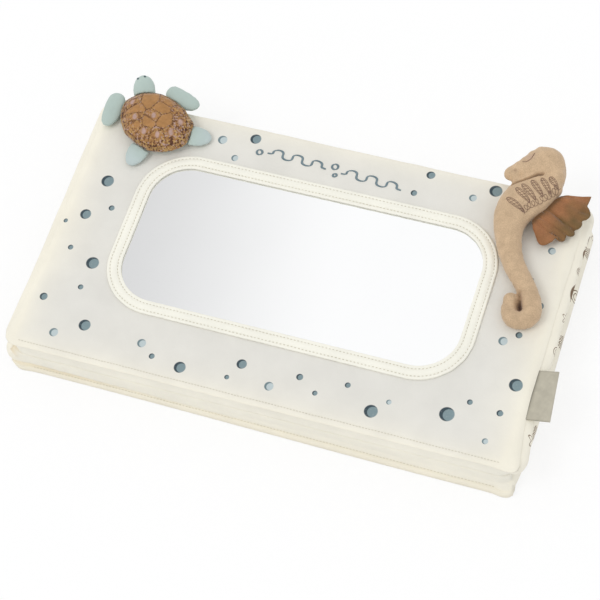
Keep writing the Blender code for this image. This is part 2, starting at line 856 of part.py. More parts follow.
def build():
    """Make every sub-part."""
    clear_scene()
    home = new_collection("baby_activity_mirror")
    cutters = new_collection("cutters")
    cotton = finish_of("printed face cotton", white_cotton, 0.9)
    side_print = finish_of("printed side cotton", printed_cream, 0.9)
    plain = finish_of("plain cream cotton", cream, 0.9)
    trim = finish_of("trim cotton", trim_cream, 0.85)
    foam = finish_of("foam", foam_white, 0.95)
    board = finish_of("stiffener board", board_grey, 0.8)
    silver = finish_of("acrylic mirror", mirror_grey, 0.05, 1.0)
    woven = finish_of("woven tag", taupe, 0.8)
    shell_cloth = finish_of("shell velour", caramel, 0.95)
    flipper_cloth = finish_of("flipper cotton", pale_blue, 0.9)
    sage_cloth = finish_of("head cotton", sage, 0.9)
    tan_cloth = finish_of("seahorse cotton", tan, 0.9)
    fin_cloth_finish = finish_of("fin cotton", fin_brown, 0.85)
    plastic = finish_of("squeaker plastic", plastic_white, 0.5)

    front_face(cotton, home)
    band("front_band", side_print, home, flipped=False)
    lining("front_lining", plain, home, flipped=False)
    front_foam(foam, home)
    low = front_base + cloth_thickness + seat_gap
    slab("front_board", board_outline(), low, low + board_thickness, board, home)
    level = seam_height + mirror_lift
    slab("mirror_sheet", mirror_outline, level - mirror_thickness, level, silver, home, trim_corner_steps)
    level = level - mirror_thickness - seat_gap
    slab("mirror_backing", mirror_outline, level - backing_thickness, level, foam, home, trim_corner_steps)
    mirror_trim(trim, home)

    rear_cover(side_print, home)
    band("rear_band", side_print, home, flipped=True)
    lining("rear_lining", plain, home, flipped=True)
    rear_foam(foam, home)
    high = rear_top - cloth_thickness - seat_gap
    slab("rear_board", board_outline(), high - board_thickness, high, board, home)

    hinge_spine(side_print, home)
    base_web(plain, home)
    side_tag(woven, home)

    object_from("turtle_shell", shell_bmesh(), shell_cloth, home)
    object_from("turtle_belly", belly_bmesh(), sage_cloth, home)
    squeaker(plastic, home)
    turtle_limbs({"turtle_head": sage_cloth, "front": flipper_cloth, "rear": flipper_cloth}, home, cutters)
    seahorse({"tan": tan_cloth, "fin": fin_cloth_finish}, home, cutters)


build()
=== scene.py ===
"""Looks of the folding fabric floor mirror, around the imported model. Lengths are in metres.

The sewn cloth pieces are drawn here as fine meshes in the places of their solids. The stuffed toys
start from their solids, are remeshed, swollen by a short cloth simulation and embroidered.
"""

from math import atan2, copysign, cos, exp, hypot, pi, radians, sin, sqrt, tau

import bpy
import numpy as np
from mathutils import Matrix, Vector, noise
from mathutils.bvhtree import BVHTree


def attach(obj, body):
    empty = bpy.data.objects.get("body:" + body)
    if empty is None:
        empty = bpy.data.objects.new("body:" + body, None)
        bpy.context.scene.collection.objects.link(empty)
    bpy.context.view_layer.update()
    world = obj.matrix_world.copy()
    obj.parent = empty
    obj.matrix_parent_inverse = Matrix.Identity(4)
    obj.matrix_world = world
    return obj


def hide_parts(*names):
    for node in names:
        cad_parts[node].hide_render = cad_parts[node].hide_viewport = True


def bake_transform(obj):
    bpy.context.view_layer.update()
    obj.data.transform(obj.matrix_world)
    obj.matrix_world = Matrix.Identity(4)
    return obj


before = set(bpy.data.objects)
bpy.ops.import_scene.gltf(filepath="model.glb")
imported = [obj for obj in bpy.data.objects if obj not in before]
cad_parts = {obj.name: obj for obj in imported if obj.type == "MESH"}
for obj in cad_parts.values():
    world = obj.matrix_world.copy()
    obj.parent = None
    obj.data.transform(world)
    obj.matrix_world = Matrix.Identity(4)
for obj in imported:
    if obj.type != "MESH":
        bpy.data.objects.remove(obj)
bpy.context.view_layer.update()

# Sizes of the part that its cloth follows
panel_depth = 0.227
panel_thickness = 0.0205
side_bulge = 0.0065
end_bulge = 0.0012
hem_depth = 0.0045
face_crown = 0.0016
cloth = 0.001
gap = 0.0003
board_thickness = 0.002
rear_top = 0.0205
front_base = 0.0235
hinge_height = 0.022
seam_height = 0.044
toy_seat = seam_height + face_crown + gap
pocket_floor = seam_height - 0.0021
pad_inset = 0.0012

# Outlines: half width, front, back and corner radius
seam_outline = (0.195, -0.1135, 0.1135, 0.010)
wall_outline = (0.195, -0.1078, 0.1110, 0.010)
window_outline = (0.1407, -0.0607, 0.0729, 0.0388)
trim_outline = (0.13865, -0.05865, 0.07085, 0.03675)
trim_width = 0.0111
trim_height = 0.0022
trim_rows = (-0.25, 0.275)
trim_stitches = 268
trim_counts = (260, 110, 50)
web_half_width = 0.1938
spine_half_width = 0.186
hem_corner = 0.185

# The panel walls' form, and the face's crown from its outline to the window
wall_heights = (0.0, 0.14, 0.38, 0.64, 0.86, 1.0)
wall_bulges = (-0.5, 0.25, 0.85, 1.0, 0.6, 0.0)
crown_places = (0.0, 0.05, 0.18, 0.5, 1.0)
crown_shares = (0.0, 0.4, 0.8, 1.0, 0.85)

# The stuffed pieces' cloth simulation
swell_pressure = 30.0
swell_frames = 20

# Stitches: pitch and length, and the radius of each thread
upper_hem_stitch = (0.0024, 0.0016)
lower_hem_stitch = (0.0026, 0.0017)
plate_stitch = (0.0014, 0.0009)
rib_stitch = (0.0008, 0.0009)
lash_stitch = (0.0006, 0.0009)
trim_stitch_length = 0.0015
upper_hem_thread = 0.0003
lower_hem_thread = 0.0003
plate_thread = 0.00024
rib_thread = 0.00019
lash_thread = 0.00026
trim_thread = 0.00034
satin_thread = 0.00024
overlock_thread = 0.00022
eye_thread = 0.00034

# The woven tag: where it comes out of the seam and ends, and its two layers' heights
tag_layers = (0.04095, 0.04195)
tag_round = 0.0005
tag_root = 0.1935
tag_end = 0.2128

shell_middle = Vector((-0.1483, 0.0940, 0.0))


def linear(red, green, blue):
    """A screen colour, 0 to 255, as linear values."""
    values = []
    for part in (red, green, blue):
        share = part / 255
        values.append(share / 12.92 if share <= 0.04045 else ((share + 0.055) / 1.055) ** 2.4)
    return tuple(values)


# Light: the sun's place and strength, the surround's, how white the seen floor is by itself, and the
# mirrored surround's dimmer side
sun_from = (-0.45, -0.38, 0.92)
sun_energy = 0.50
surround_strength = 0.875
floor_white = 0.76
mirrored_dim = (-0.335, -0.215, 0.70)

# Colours
face_white = linear(233, 231, 224)
side_cream = linear(250, 245, 229)
web_cream = linear(248, 244, 230)
# Ochre for the web's painted shade in its left corner, along its crease and under the upper hem, and for its
# yellowish lower hem
ochre_for_shade_and_hem = linear(236, 214, 168)
trim_cream = linear(253, 251, 239)
bubble_dark = linear(132, 152, 157)
crescent_dark = linear(62, 78, 86)
bubble_light = linear(196, 209, 211)
crescent_light = linear(118, 138, 143)
print_brown = linear(122, 98, 74)
thread_cream = linear(222, 216, 196)
# The topstitch thread is a little darker than the cloth: partly the thread's own colour, partly painted shade
# at its needle holes
thread_shade = linear(218, 213, 196)
thread_brown = linear(96, 64, 50)
thread_ochre = linear(196, 160, 104)
caramel = linear(180, 134, 86)
mauve = linear(188, 158, 148)
sage = linear(186, 203, 196)
pale_blue = linear(199, 211, 213)
eye_teal = linear(84, 108, 110)
tan = linear(209, 181, 148)
rib_brown = linear(132, 102, 88)
wave_slate = linear(122, 142, 150)
fin_red = linear(166, 116, 80)
fin_olive = linear(122, 98, 64)
tag_taupe = linear(196, 190, 172)


class Nodes:
    """A node tree, with short calls for what is added to it."""

    def __init__(self, tree):
        self.nodes = tree.nodes
        self.links = tree.links

    def put(self, socket, value):
        """Give a socket a number, a colour or another node's output."""
        if isinstance(value, bpy.types.NodeSocket):
            self.links.new(value, socket)
        elif isinstance(value, tuple) and len(value) == 3 and socket.type == "RGBA":
            socket.default_value = (*value, 1.0)
        else:
            socket.default_value = value

    def add(self, kind, inputs, output=0, **settings):
        """A node with its settings and inputs by index or name; returns one output."""
        node = self.nodes.new(kind)
        for key, value in settings.items():
            setattr(node, key, value)
        for key, value in inputs.items():
            self.put(node.inputs[key], value)
        return node.outputs[output]

    def math(self, operation, *values):
        return self.add("ShaderNodeMath", dict(enumerate(values)), operation=operation)

    def times(self, first, second):
        return self.math("MULTIPLY", first, second)

    def minus(self, first, second):
        return self.math("SUBTRACT", first, second)

    def sine(self, value, turns):
        return self.math("SINE", self.times(value, turns))

    def axes(self, vector):
        return self.add("ShaderNodeSeparateXYZ", {0: vector}).node.outputs

    def share(self, value, low, high, **settings):
        """0 at low and 1 at high, clamped."""
        return self.add("ShaderNodeMapRange", {0: value, 1: low, 2: high}, **settings)

    def seen(self):
        """1 where the camera looks, also in a mirror or through something clear."""
        rays = self.nodes.new("ShaderNodeLightPath").outputs
        first = self.math("MAXIMUM", rays["Is Camera Ray"], rays["Is Glossy Ray"])
        return self.math("MAXIMUM", first, rays["Is Transmission Ray"])


class Graph(Nodes):
    """A material's nodes."""

    def __init__(self, name, roughness, **sockets):
        self.material = bpy.data.materials.new(name)
        self.material.use_nodes = True
        super().__init__(self.material.node_tree)
        self.shader = self.nodes["Principled BSDF"]
        self.shader.inputs["Roughness"].default_value = roughness
        for socket, value in sockets.items():
            self.shader.inputs[socket.replace("_", " ")].default_value = value
        self.normal = None

    def attribute(self, name, output="Vector"):
        return self.add("ShaderNodeAttribute", {}, output, attribute_name=name)

    def place(self):
        return self.add("ShaderNodeTexCoord", {}, "Object")

    def grain(self, vector, scale, detail=2.0):
        return self.add("ShaderNodeTexNoise", {"Vector": vector, "Scale": scale, "Detail": detail})

    def mix(self, share, first, second, blend="MIX"):
        inputs = {0: share, 6: first, 7: second}
        return self.add("ShaderNodeMix", inputs, 2, data_type="RGBA", blend_type=blend)

    def vary(self, colour, share, low, high):
        """A colour times a grey, low where the share is 0 and high where it is 1."""
        return self.mix(1.0, colour, self.mix(share, (low,) * 3, (high,) * 3), "MULTIPLY")

    def length(self, across, along):
        squares = self.math("MULTIPLY_ADD", along, along, self.times(across, across))
        return self.math("SQRT", squares)

    def bump(self, height, distance):
        """Add a height, in metres, to the surface."""
        inputs = {"Height": height, "Distance": distance, "Strength": 1.0}
        if self.normal is not None:
            inputs["Normal"] = self.normal
        self.normal = self.add("ShaderNodeBump", inputs)
        self.put(self.shader.inputs["Normal"], self.normal)

    def finish(self, colour):
        self.put(self.shader.inputs["Base Color"], colour)
        return self.material


def shade(colour, factor):
    """A colour made lighter or darker."""
    return tuple(part * factor for part in colour)


def fabric(name, colour=None, pitch=0.0007, weave=0.00005, crumple=0.0004, sheen=0.2,
           overlay=None, sheet=True, tone_and_shade=None):
    """Woven cloth: yarns over and under, soft crumples and a slightly uneven dye."""
    graph = Graph(name, 0.92, Sheen_Weight=sheen, Sheen_Roughness=0.5, Specular_IOR_Level=0.25)
    place = graph.place()
    lie = graph.attribute("cloth") if sheet else place
    across, along, up = graph.axes(lie)
    if not sheet:
        across = graph.math("MULTIPLY_ADD", up, 0.7, across)
        along = graph.math("MULTIPLY_ADD", up, 0.6, along)
    crossing = graph.times(graph.sine(across, tau / pitch), graph.sine(along, tau / pitch))
    yarns = graph.math("MULTIPLY_ADD", crossing, 0.5, 0.5)
    if colour is None:
        colour = graph.attribute("tint", "Color")
    # Blend towards a second colour where the tone_and_shade attribute says: a warmer cloth tone at the face's
    # edges, and painted shade and a yellowish hem on the web
    if tone_and_shade is not None:
        colour = graph.mix(graph.attribute("tone_and_shade", "Fac"), colour, tone_and_shade)
    if overlay is not None:
        colour = overlay(graph, colour)
    colour = graph.vary(colour, graph.share(graph.grain(place, 40.0, 3.0), 0.3, 0.7), 0.96, 1.02)
    colour = graph.vary(colour, yarns, 0.93, 1.0)
    graph.bump(graph.grain(place, 110.0, 3.0), crumple)
    graph.bump(graph.math("MULTIPLY_ADD", graph.grain(lie, 900.0, 3.0), 0.5, yarns), weave)
    return graph.finish(colour)


def napped(name, pile, sheen, crumple):
    """Velour or brushed cotton: a short pile that catches light at its edges."""
    graph = Graph(name, 0.95, Sheen_Weight=sheen, Sheen_Roughness=0.4, Specular_IOR_Level=0.15)
    tufts = graph.grain(graph.place(), 1400.0, 3.0)
    brushed = graph.grain(graph.place(), 160.0, 3.0)
    colour = graph.vary(graph.attribute("tint", "Color"), graph.share(brushed, 0.3, 0.7), 0.88, 1.06)
    colour = graph.vary(colour, graph.share(tufts, 0.35, 0.65), 0.84, 1.05)
    graph.bump(brushed, crumple)
    graph.bump(tufts, pile)
    return graph.finish(colour)


def shell_cloth():
    """Velour with dense short stitches in mixed threads, where the stipple attribute says so."""
    graph = Graph("shell velour", 0.95, Sheen_Weight=0.35, Sheen_Roughness=0.4, Specular_IOR_Level=0.15)
    place = graph.place()
    stitched = graph.attribute("stipple", "Fac")
    uneven = graph.add("ShaderNodeTexNoise", {"Vector": place, "Scale": 700.0}, "Color")
    shift = graph.add("ShaderNodeVectorMath", {0: uneven, 3: 0.0016}, operation="SCALE")
    bent = graph.add("ShaderNodeVectorMath", {0: place, 1: shift}, operation="ADD")
    cells = {"Vector": bent, "Scale": 820.0}
    pick = graph.axes(graph.add("ShaderNodeTexVoronoi", cells, "Color"))[0]
    knot = graph.add("ShaderNodeTexVoronoi", cells, "Distance")
    brushed = graph.grain(place, 300.0, 3.0)
    colour = graph.vary(graph.attribute("tint", "Color"), graph.share(brushed, 0.3, 0.7), 0.86, 1.08)
    threads = ((-0.1, 0.30, thread_brown), (0.30, 0.46, mauve), (0.46, 0.60, thread_ochre))
    for low, high, thread in threads:
        inside = graph.times(graph.math("GREATER_THAN", pick, low), graph.math("LESS_THAN", pick, high))
        colour = graph.mix(graph.times(inside, stitched), colour, thread)
    graph.bump(brushed, 0.0004)
    graph.bump(graph.times(graph.minus(1.0, knot), stitched), 0.0006)
    return graph.finish(colour)


def ink(graph, colour, drawn, inks):
    """Print the given ink over the cloth where drawn is 1, as it soaks into the yarns."""
    uneven = graph.share(graph.grain(graph.attribute("cloth"), 700.0), 0.2, 0.45)
    return graph.mix(graph.times(drawn, graph.math("MULTIPLY_ADD", uneven, 0.15, 0.85)), colour, inks)


def mark_parts(graph):
    """The nearest printed mark: place in it, distance from its middle in radii, kind, near or not."""
    across, along, edge = graph.axes(graph.attribute("mark_place"))
    kind = graph.attribute("mark_kind", "Fac")
    return across, along, graph.length(across, along), kind, graph.share(edge, 0.7, 0.6)


def bubbles(graph, colour):
    """Round bubbles, each with a darker crescent at its left."""
    across, along, reach, kind, near = mark_parts(graph)
    disc = graph.times(graph.share(reach, 1.04, 0.94), near)
    aside = graph.length(graph.minus(across, 0.33), graph.math("ADD", along, 0.06))
    crescent = graph.share(aside, 0.79, 0.87)
    pale = graph.share(kind, 0.4, 0.6)
    body = graph.mix(pale, bubble_dark, bubble_light)
    moon = graph.mix(pale, crescent_dark, crescent_light)
    return ink(graph, colour, disc, graph.mix(crescent, body, moon))


def line_at(graph, value, width):
    """1 where a value is within a line's width of zero."""
    return graph.share(graph.math("ABSOLUTE", value), width * 1.25, width * 0.75)


def sea_outlines(graph, colour):
    """Thin outlines of starfish, waves and rings, and solid leaves."""
    across, along, reach, kind, near = mark_parts(graph)
    angle = graph.math("ARCTAN2", along, across)
    arms = graph.math("MULTIPLY_ADD", graph.math("COSINE", graph.times(angle, 5.0)), 0.25, 0.66)
    star = line_at(graph, graph.minus(reach, arms), 0.07)
    crest = graph.times(graph.sine(across, 6.5), 0.16)
    wave = graph.minus(graph.math("PINGPONG", graph.minus(along, crest), 0.3), 0.15)
    wave = graph.times(line_at(graph, wave, 0.07), graph.share(reach, 1.0, 0.9))
    ring, inner = (line_at(graph, graph.minus(reach, radius), 0.06) for radius in (0.8, 0.42))
    ring = graph.math("MAXIMUM", ring, inner)
    slim = graph.math("MULTIPLY_ADD", graph.times(across, across), 0.45, -0.45)
    leaf = graph.share(graph.math("ADD", graph.math("ABSOLUTE", along), slim), 0.04, -0.04)
    drawn = 0.0
    for number, figure in enumerate((star, wave, ring, leaf), 2):
        picked = graph.math("COMPARE", kind, float(number), 0.4)
        drawn = graph.math("MULTIPLY_ADD", figure, picked, drawn)
    return ink(graph, colour, graph.times(drawn, near), print_brown)


def mirror_finish():
    """Acrylic mirror with a faint haze of handling."""
    graph = Graph("mirror acrylic", 0.04, Metallic=1.0)
    haze = graph.grain(graph.place(), 22.0, 4.0)
    rough = graph.math("MULTIPLY_ADD", graph.share(haze, 0.4, 0.8), 0.05, 0.03)
    graph.put(graph.shader.inputs["Roughness"], rough)
    graph.bump(graph.grain(graph.place(), 9.0, 1.0), 0.00015)
    return graph.finish(graph.mix(haze, (0.965, 0.97, 0.975), (0.985, 0.99, 0.995)))


def plain_finish(name, colour, roughness, scale, depth, contrast):
    """Foam, board or moulded plastic: a grain of the given scale and depth."""
    graph = Graph(name, roughness)
    cells = graph.grain(graph.place(), scale, 4.0)
    graph.bump(cells, depth)
    return graph.finish(graph.mix(graph.share(cells, 0.3, 0.7), shade(colour, 1 - contrast), colour))


def ribbed_tape(name, colour):
    """A woven tape with fine ribs across it, and painted shade where it comes out of the seam."""
    graph = Graph(name, 0.75, Sheen_Weight=0.2, Sheen_Roughness=0.4)
    across, along, _ = graph.axes(graph.place())
    weave = graph.math("MULTIPLY_ADD", graph.sine(across, tau / 0.0006), 0.15, 0.5)
    height = graph.math("MULTIPLY_ADD", graph.sine(along, tau / 0.0009), 0.35, weave)
    graph.bump(height, 0.0001)
    tone = graph.share(graph.grain(graph.place(), 180.0, 3.0), 0.3, 0.7)
    shown = graph.vary(graph.mix(tone, shade(colour, 0.9), shade(colour, 1.04)), height, 0.82, 1.04)
    # Painted shade: darker along the root, where the tape comes out of the seam
    return graph.finish(graph.mix(graph.attribute("tone_and_shade", "Fac"), shown, shade(colour, 0.45)))


finishes = {
    "face": fabric("face cotton", face_white, overlay=bubbles, tone_and_shade=side_cream),
    "side": fabric("side cotton", side_cream, overlay=sea_outlines),
    "plain": fabric("plain cotton", web_cream, crumple=0.0006, tone_and_shade=ochre_for_shade_and_hem),
    "trim": fabric("trim cotton", trim_cream, crumple=0.0005, sheet=False),
    "foam": plain_finish("polyester pad", (0.80, 0.80, 0.78), 0.95, 700.0, 0.0004, 0.12),
    "board": plain_finish("grey board", (0.45, 0.43, 0.40), 0.85, 500.0, 0.0001, 0.2),
    "backing": plain_finish("mirror backing", (0.30, 0.30, 0.31), 0.6, 900.0, 0.00005, 0.1),
    "plastic": plain_finish("moulded plastic", (0.75, 0.75, 0.72), 0.45, 260.0, 0.00003, 0.05),
    "mirror": mirror_finish(),
    "tape": ribbed_tape("woven tape", tag_taupe),
    "velour": shell_cloth(),
    "jersey": napped("brushed jersey", pile=0.00012, sheen=0.3, crumple=0.0005),
    "flipper": fabric("flipper cotton", pitch=0.0006, crumple=0.0007, sheen=0.25, sheet=False),
    "fin": napped("fin velveteen", pile=0.00018, sheen=0.35, crumple=0.0004),
}
threads = (
    ("cream_thread", "cream thread", thread_cream, 0.2), ("brown_thread", "brown thread", thread_brown, 0.2),
    ("rib_thread", "rib thread", rib_brown, 0.2), ("shade_thread", "topstitch thread", thread_shade, 0.2),
    ("wave_thread", "embroidery thread", wave_slate, 0.4),
    ("ochre_thread", "overlock thread", thread_ochre, 0.2), ("eye_thread", "eye thread", eye_teal, 0.2),
)
for key, name, colour, sheen in threads:
    finishes[key] = fabric(name, colour, pitch=0.0004, weave=0.00003, sheen=sheen, sheet=False)


def wobble(x, y, z=0.0):
    """Smooth noise from -1 to 1, the same at each run."""
    return noise.noise(Vector((x, y, z)))


def cloudy(place, size, seed):
    """Smooth noise from -1 to 1 over a plane, with clouds of about the given size."""
    return wobble(place.x / size, place.y / size, seed)


def bell(offset, width):
    """1 at no offset, falling off smoothly over a width to both sides."""
    return exp(-(offset / width) ** 2)


def clamp(share):
    return min(1.0, max(0.0, share))


def between(first, second, share):
    """Two colours or outlines blended, the second at a share of 1."""
    share = clamp(share)
    return tuple(a + (b - a) * share for a, b in zip(first, second))


def add_piece(name, points, faces, material):
    """A smooth-shaded mesh object."""
    mesh = bpy.data.meshes.new(name)
    mesh.from_pydata([tuple(point) for point in points], [], faces)
    mesh.shade_smooth()
    mesh.materials.append(finishes[material])
    made = bpy.data.objects.new(name, mesh)
    bpy.context.scene.collection.objects.link(made)
    return made


def carry(made, body, slot, *nodes):
    """Let a piece ride on a body and hide the solids that it stands for; the slot is not used."""
    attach(made, body)
    if nodes:
        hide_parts(*nodes)


def grid_faces(rows, columns, around=False, joined=False):
    """Faces between rows of points; around closes each row, joined closes the last row to the first."""
    faces = []
    for row in range(rows if joined else rows - 1):
        here = row * columns
        after = (row + 1) % rows * columns
        for column in range(columns if around else columns - 1):
            following = (column + 1) % columns
            faces.append((here + column, here + following, after + following, after + column))
    return faces


def row_piece(name, rows, material, joined=True):
    """A piece of closed rows: the last is joined to the first, or both are closed by flat ends."""
    columns = len(rows[0])
    faces = grid_faces(len(rows), columns, True, joined)
    if not joined:
        faces.append(tuple(range(columns))[::-1])
        faces.append(tuple(range((len(rows) - 1) * columns, len(rows) * columns)))
    return add_piece(name, np.array(rows).reshape(-1, 3), faces, material)


def loop(outline, counts):
    """Points round a rectangle with round corners, and the way out at each."""
    half, front, back, radius = outline
    long_steps, short_steps, corner_steps = counts
    corners = ((half, back), (-half, back), (-half, front), (half, front))
    arcs = []
    for quarter, (x, y) in enumerate(corners):
        middle = (x - copysign(radius, x), y - radius if y == back else y + radius)
        arc = []
        for step in range(corner_steps + 1):
            angle = tau * (0.25 * quarter + 0.25 * step / corner_steps)
            way = (cos(angle), sin(angle))
            arc.append((middle[0] + radius * way[0], middle[1] + radius * way[1], *way))
        arcs.append(arc)
    table = []
    for arc, following, steps in zip(arcs, arcs[1:] + arcs[:1], (long_steps, short_steps) * 2):
        x, y, *way = arc[-1]
        next_x, next_y = following[0][:2]
        table += arc[:-1]
        table += [(x + (next_x - x) * s / steps, y + (next_y - y) * s / steps, *way) for s in range(steps)]
    table = np.array(table)
    return table[:, :2], table[:, 2:]


def grown(outline, side, end=None):
    """The outline moved out by a length at its sides, and by another at its front and back."""
    end = side if end is None else end
    half, front, back, radius = outline
    return (half + side, front - end, back + end, max(radius + min(side, end), 0.001))


def run_round(points):
    """Distance along a closed row of points."""
    steps = np.linalg.norm(np.roll(points, -1, axis=0) - points, axis=1)
    return np.concatenate([[0.0], np.cumsum(steps)[:-1]])


def set_attribute(made, name, values, kind="FLOAT_VECTOR"):
    """Store one value for each point of a piece's mesh."""
    stored = made.data.attributes.new(name, kind, "POINT")
    field = {"FLOAT_VECTOR": "vector", "FLOAT": "value", "FLOAT_COLOR": "color"}[kind]
    stored.data.foreach_set(field, np.asarray(values, dtype=np.float32).ravel())


no_marks = ((-1.0, -1.0, 0.001, 9),)


def set_marks(made, lie, marks=no_marks, tone_and_shade=None):
    """Store where each point of the cloth lies in its nearest printed mark, and its share of a second colour,
    which stands for a warmer tone on the face and for painted shade on the web and tag.
    """
    marks = np.array(marks, float)
    lie = np.asarray(lie, float)
    offset = lie[:, None, :2] - marks[None, :, :2]
    edge = np.linalg.norm(offset, axis=2) - marks[None, :, 2]
    nearest = edge.argmin(axis=1)
    rows = np.arange(len(lie))
    place = offset[rows, nearest] / marks[nearest, 2:3]
    set_attribute(made, "mark_place", np.column_stack([place, edge[rows, nearest] * 1000]))
    set_attribute(made, "mark_kind", marks[nearest, 3], "FLOAT")
    set_attribute(made, "cloth", np.column_stack([lie[:, :2], np.zeros(len(lie))]))
    set_attribute(made, "tone_and_shade", np.zeros(len(lie)) if tone_and_shade is None else tone_and_shade, "FLOAT")


# Marks printed on the bands' right sides: place along the side, height in the band, half size, kind
right_marks = {
    False: ((0.086, 0.0115, 0.0045, 5), (0.074, 0.0125, 0.0050, 5), (0.058, 0.0120, 0.0040, 3),
            (0.040, 0.0120, 0.0080, 5), (0.018, 0.0115, 0.0050, 2), (-0.010, 0.0115, 0.0045, 4),
            (-0.083, 0.0110, 0.0065, 2)),
    True: ((0.088, 0.0100, 0.0050, 3), (0.050, 0.0095, 0.0060, 4), (0.010, 0.0100, 0.0060, 3),
           (-0.035, 0.0100, 0.0055, 4), (-0.066, 0.0100, 0.0060, 3)),
}

# Where the bands' own marks end along their run, and what takes a place on the right side to its run
right_start = 0.575
right_end = -1.128

# How much flatter each band is at its front end: lower or upper panel, right or left side
front_slack = {(False, False): 0.4, (False, True): 0.0, (True, False): 0.0, (True, True): 0.65}

# Bubbles on the face: middle and diameter in millimetres, and 1 for a light one
bubble_table = (
    (-169.2, 38, 10, 0), (-175.5, 5.8, 8.7, 0), (-157.6, 16, 4.7, 0), (-188.9, -3.2, 3.6, 0),
    (-176.4, -24.6, 4.3, 0), (-154.8, -33.3, 10.1, 0), (-156.3, -55.1, 4.3, 0), (-181.2, -69.8, 6.2, 0),
    (-162.5, -96.4, 6.9, 1), (-141.7, -84.7, 9.2, 0), (-94.5, -87.6, 6.8, 1), (-83.5, -95.7, 4.5, 0),
    (-60.1, -98.8, 9, 0), (-16.2, -84.3, 7.8, 0), (-23.5, -97.3, 3.7, 0), (8.9, -96, 7, 1),
    (28.6, -83.1, 5.2, 0), (43.3, -92.5, 4, 0), (64.6, -80, 4.4, 0), (87, -95.4, 10.2, 0),
    (97.5, -85.1, 4, 1), (140.6, -83.2, 11.3, 0), (153.9, -69.7, 4.3, 0), (177, -72.4, 5, 0),
    (172.7, -96.3, 4.6, 1), (182.1, -48, 10.1, 0), (163.6, -16.2, 6.9, 1), (173.5, -8.5, 5.1, 0),
    (178.5, 65.3, 5.9, 1), (109.2, 94.5, 6, 1), (124.3, 104.8, 10, 0), (72.6, 106, 6.9, 0),
    (64.6, 87.5, 5, 0), (-68.8, 103.3, 8.7, 0), (-93.8, 96, 7.5, 1), (-79.2, 82.7, 5.5, 1),
    (-196.7, 92.7, 2, 0), (170, 37.7, 4.4, 0), (182, 18.5, 5.8, 0),
)
bubble_marks = [(x / 1000, y / 1000, wide / 2000, light) for x, y, wide, light in bubble_table]


def scattered_marks(width, low, high, spacing, radius, seed):
    """Starfish, waves and rings in staggered rows over a piece of cloth, between two heights."""
    draw = np.random.RandomState(seed)
    marks = []
    rows = max(2, int((high - low) / spacing) + 1)
    for row in range(rows):
        for column in range(int(width / spacing) + 1):
            across, along = draw.uniform(-0.1, 0.1, 2) * spacing
            size = radius * draw.uniform(0.8, 1.0)
            across += spacing * (column + 0.5 * (row % 2))
            marks.append((across, low + (high - low) * row / (rows - 1) + along, size, 2 + draw.randint(3)))
    return marks


def edge_distance(x, y, outline):
    """How far a place lies inside an outline."""
    half, front, back, radius = outline
    middle = (front + back) / 2
    across = abs(x) - (half - radius)
    along = abs(y - middle) - ((back - front) / 2 - radius)
    outside = hypot(max(across, 0.0), max(along, 0.0))
    return radius - outside - min(max(across, along), 0.0)


def soft_step(share):
    """A smooth step from 0 to 1."""
    share = clamp(share)
    return share * share * (3 - 2 * share)


def side_length(y):
    """1 along the panel's sides, fading to 0 at its front and back corners."""
    return soft_step((y - seam_outline[1]) / 0.018) * soft_step((seam_outline[2] - y) / 0.014)


def side_roll(x, y):
    """How far the face rolls down at the panel's two sides."""
    side = seam_outline[0] - abs(x)
    return 0.0022 * max(0.0, 1 - side / 0.0075) ** 2 * side_length(y)


def crown(inward):
    """The face's crown at a share of the way from its outline to the window."""
    return face_crown * float(np.interp(inward, crown_places, crown_shares))


def face_warmth(x, y):
    """The face's cloth looks warmer towards its outer edges."""
    edge = edge_distance(x, y, seam_outline)
    ends = soft_step((abs(x) - 0.15) / 0.05)
    cloud = 0.25 * wobble(x / 0.05, y / 0.04, 97.0)
    return clamp(0.95 * exp(-edge / 0.010) + 0.45 * ends + cloud * (0.3 + ends))


def face_level(x, y, inward, along):
    """The face's height: its crown, the pinched hem in front, rolled sides and small puckers."""
    front = y - seam_outline[1]
    back = seam_outline[2] - y
    edge = edge_distance(x, y, seam_outline)
    inner = 1 - inward
    hem = (0.00015 + 0.00025 * soft_step((x + 0.15) / 0.2)) * bell(front - hem_depth, 0.0011)
    lip = 0.0003 * bell(front - 0.0018, 0.0018) + 0.0004 * max(0.0, 1 - front / 0.0009) ** 2
    rolled = max(0.0, 1 - min(edge, back) / 0.003) ** 2 * min(1.0, front / 0.006) * (1 - side_length(y))
    level = seam_height + crown(inward) - hem - lip - 0.0011 * rolled - side_roll(x, y)
    pucker = wobble(x / 0.0045, front / 0.02, 3.0) + 0.6 * wobble(x / 0.0022, front / 0.012, 7.0)
    level += 0.00036 * pucker * exp(-abs(front - hem_depth) / 0.005) * min(1.0, front / 0.002 + 0.25)
    level += 0.0003 * wobble(along / 0.006, inner * 3, 11.0) * exp(-inner / 0.10)
    level += 0.0004 * wobble(x / 0.035, y / 0.03, 5.0) * min(1.0, edge / 0.012) * min(1.0, inner / 0.1)
    side = wobble(along / 0.012, edge / 0.02, 23.0) * exp(-edge / 0.008)
    return level + 0.0002 * side * min(1.0, front / 0.01) * min(1.0, edge / 0.002)


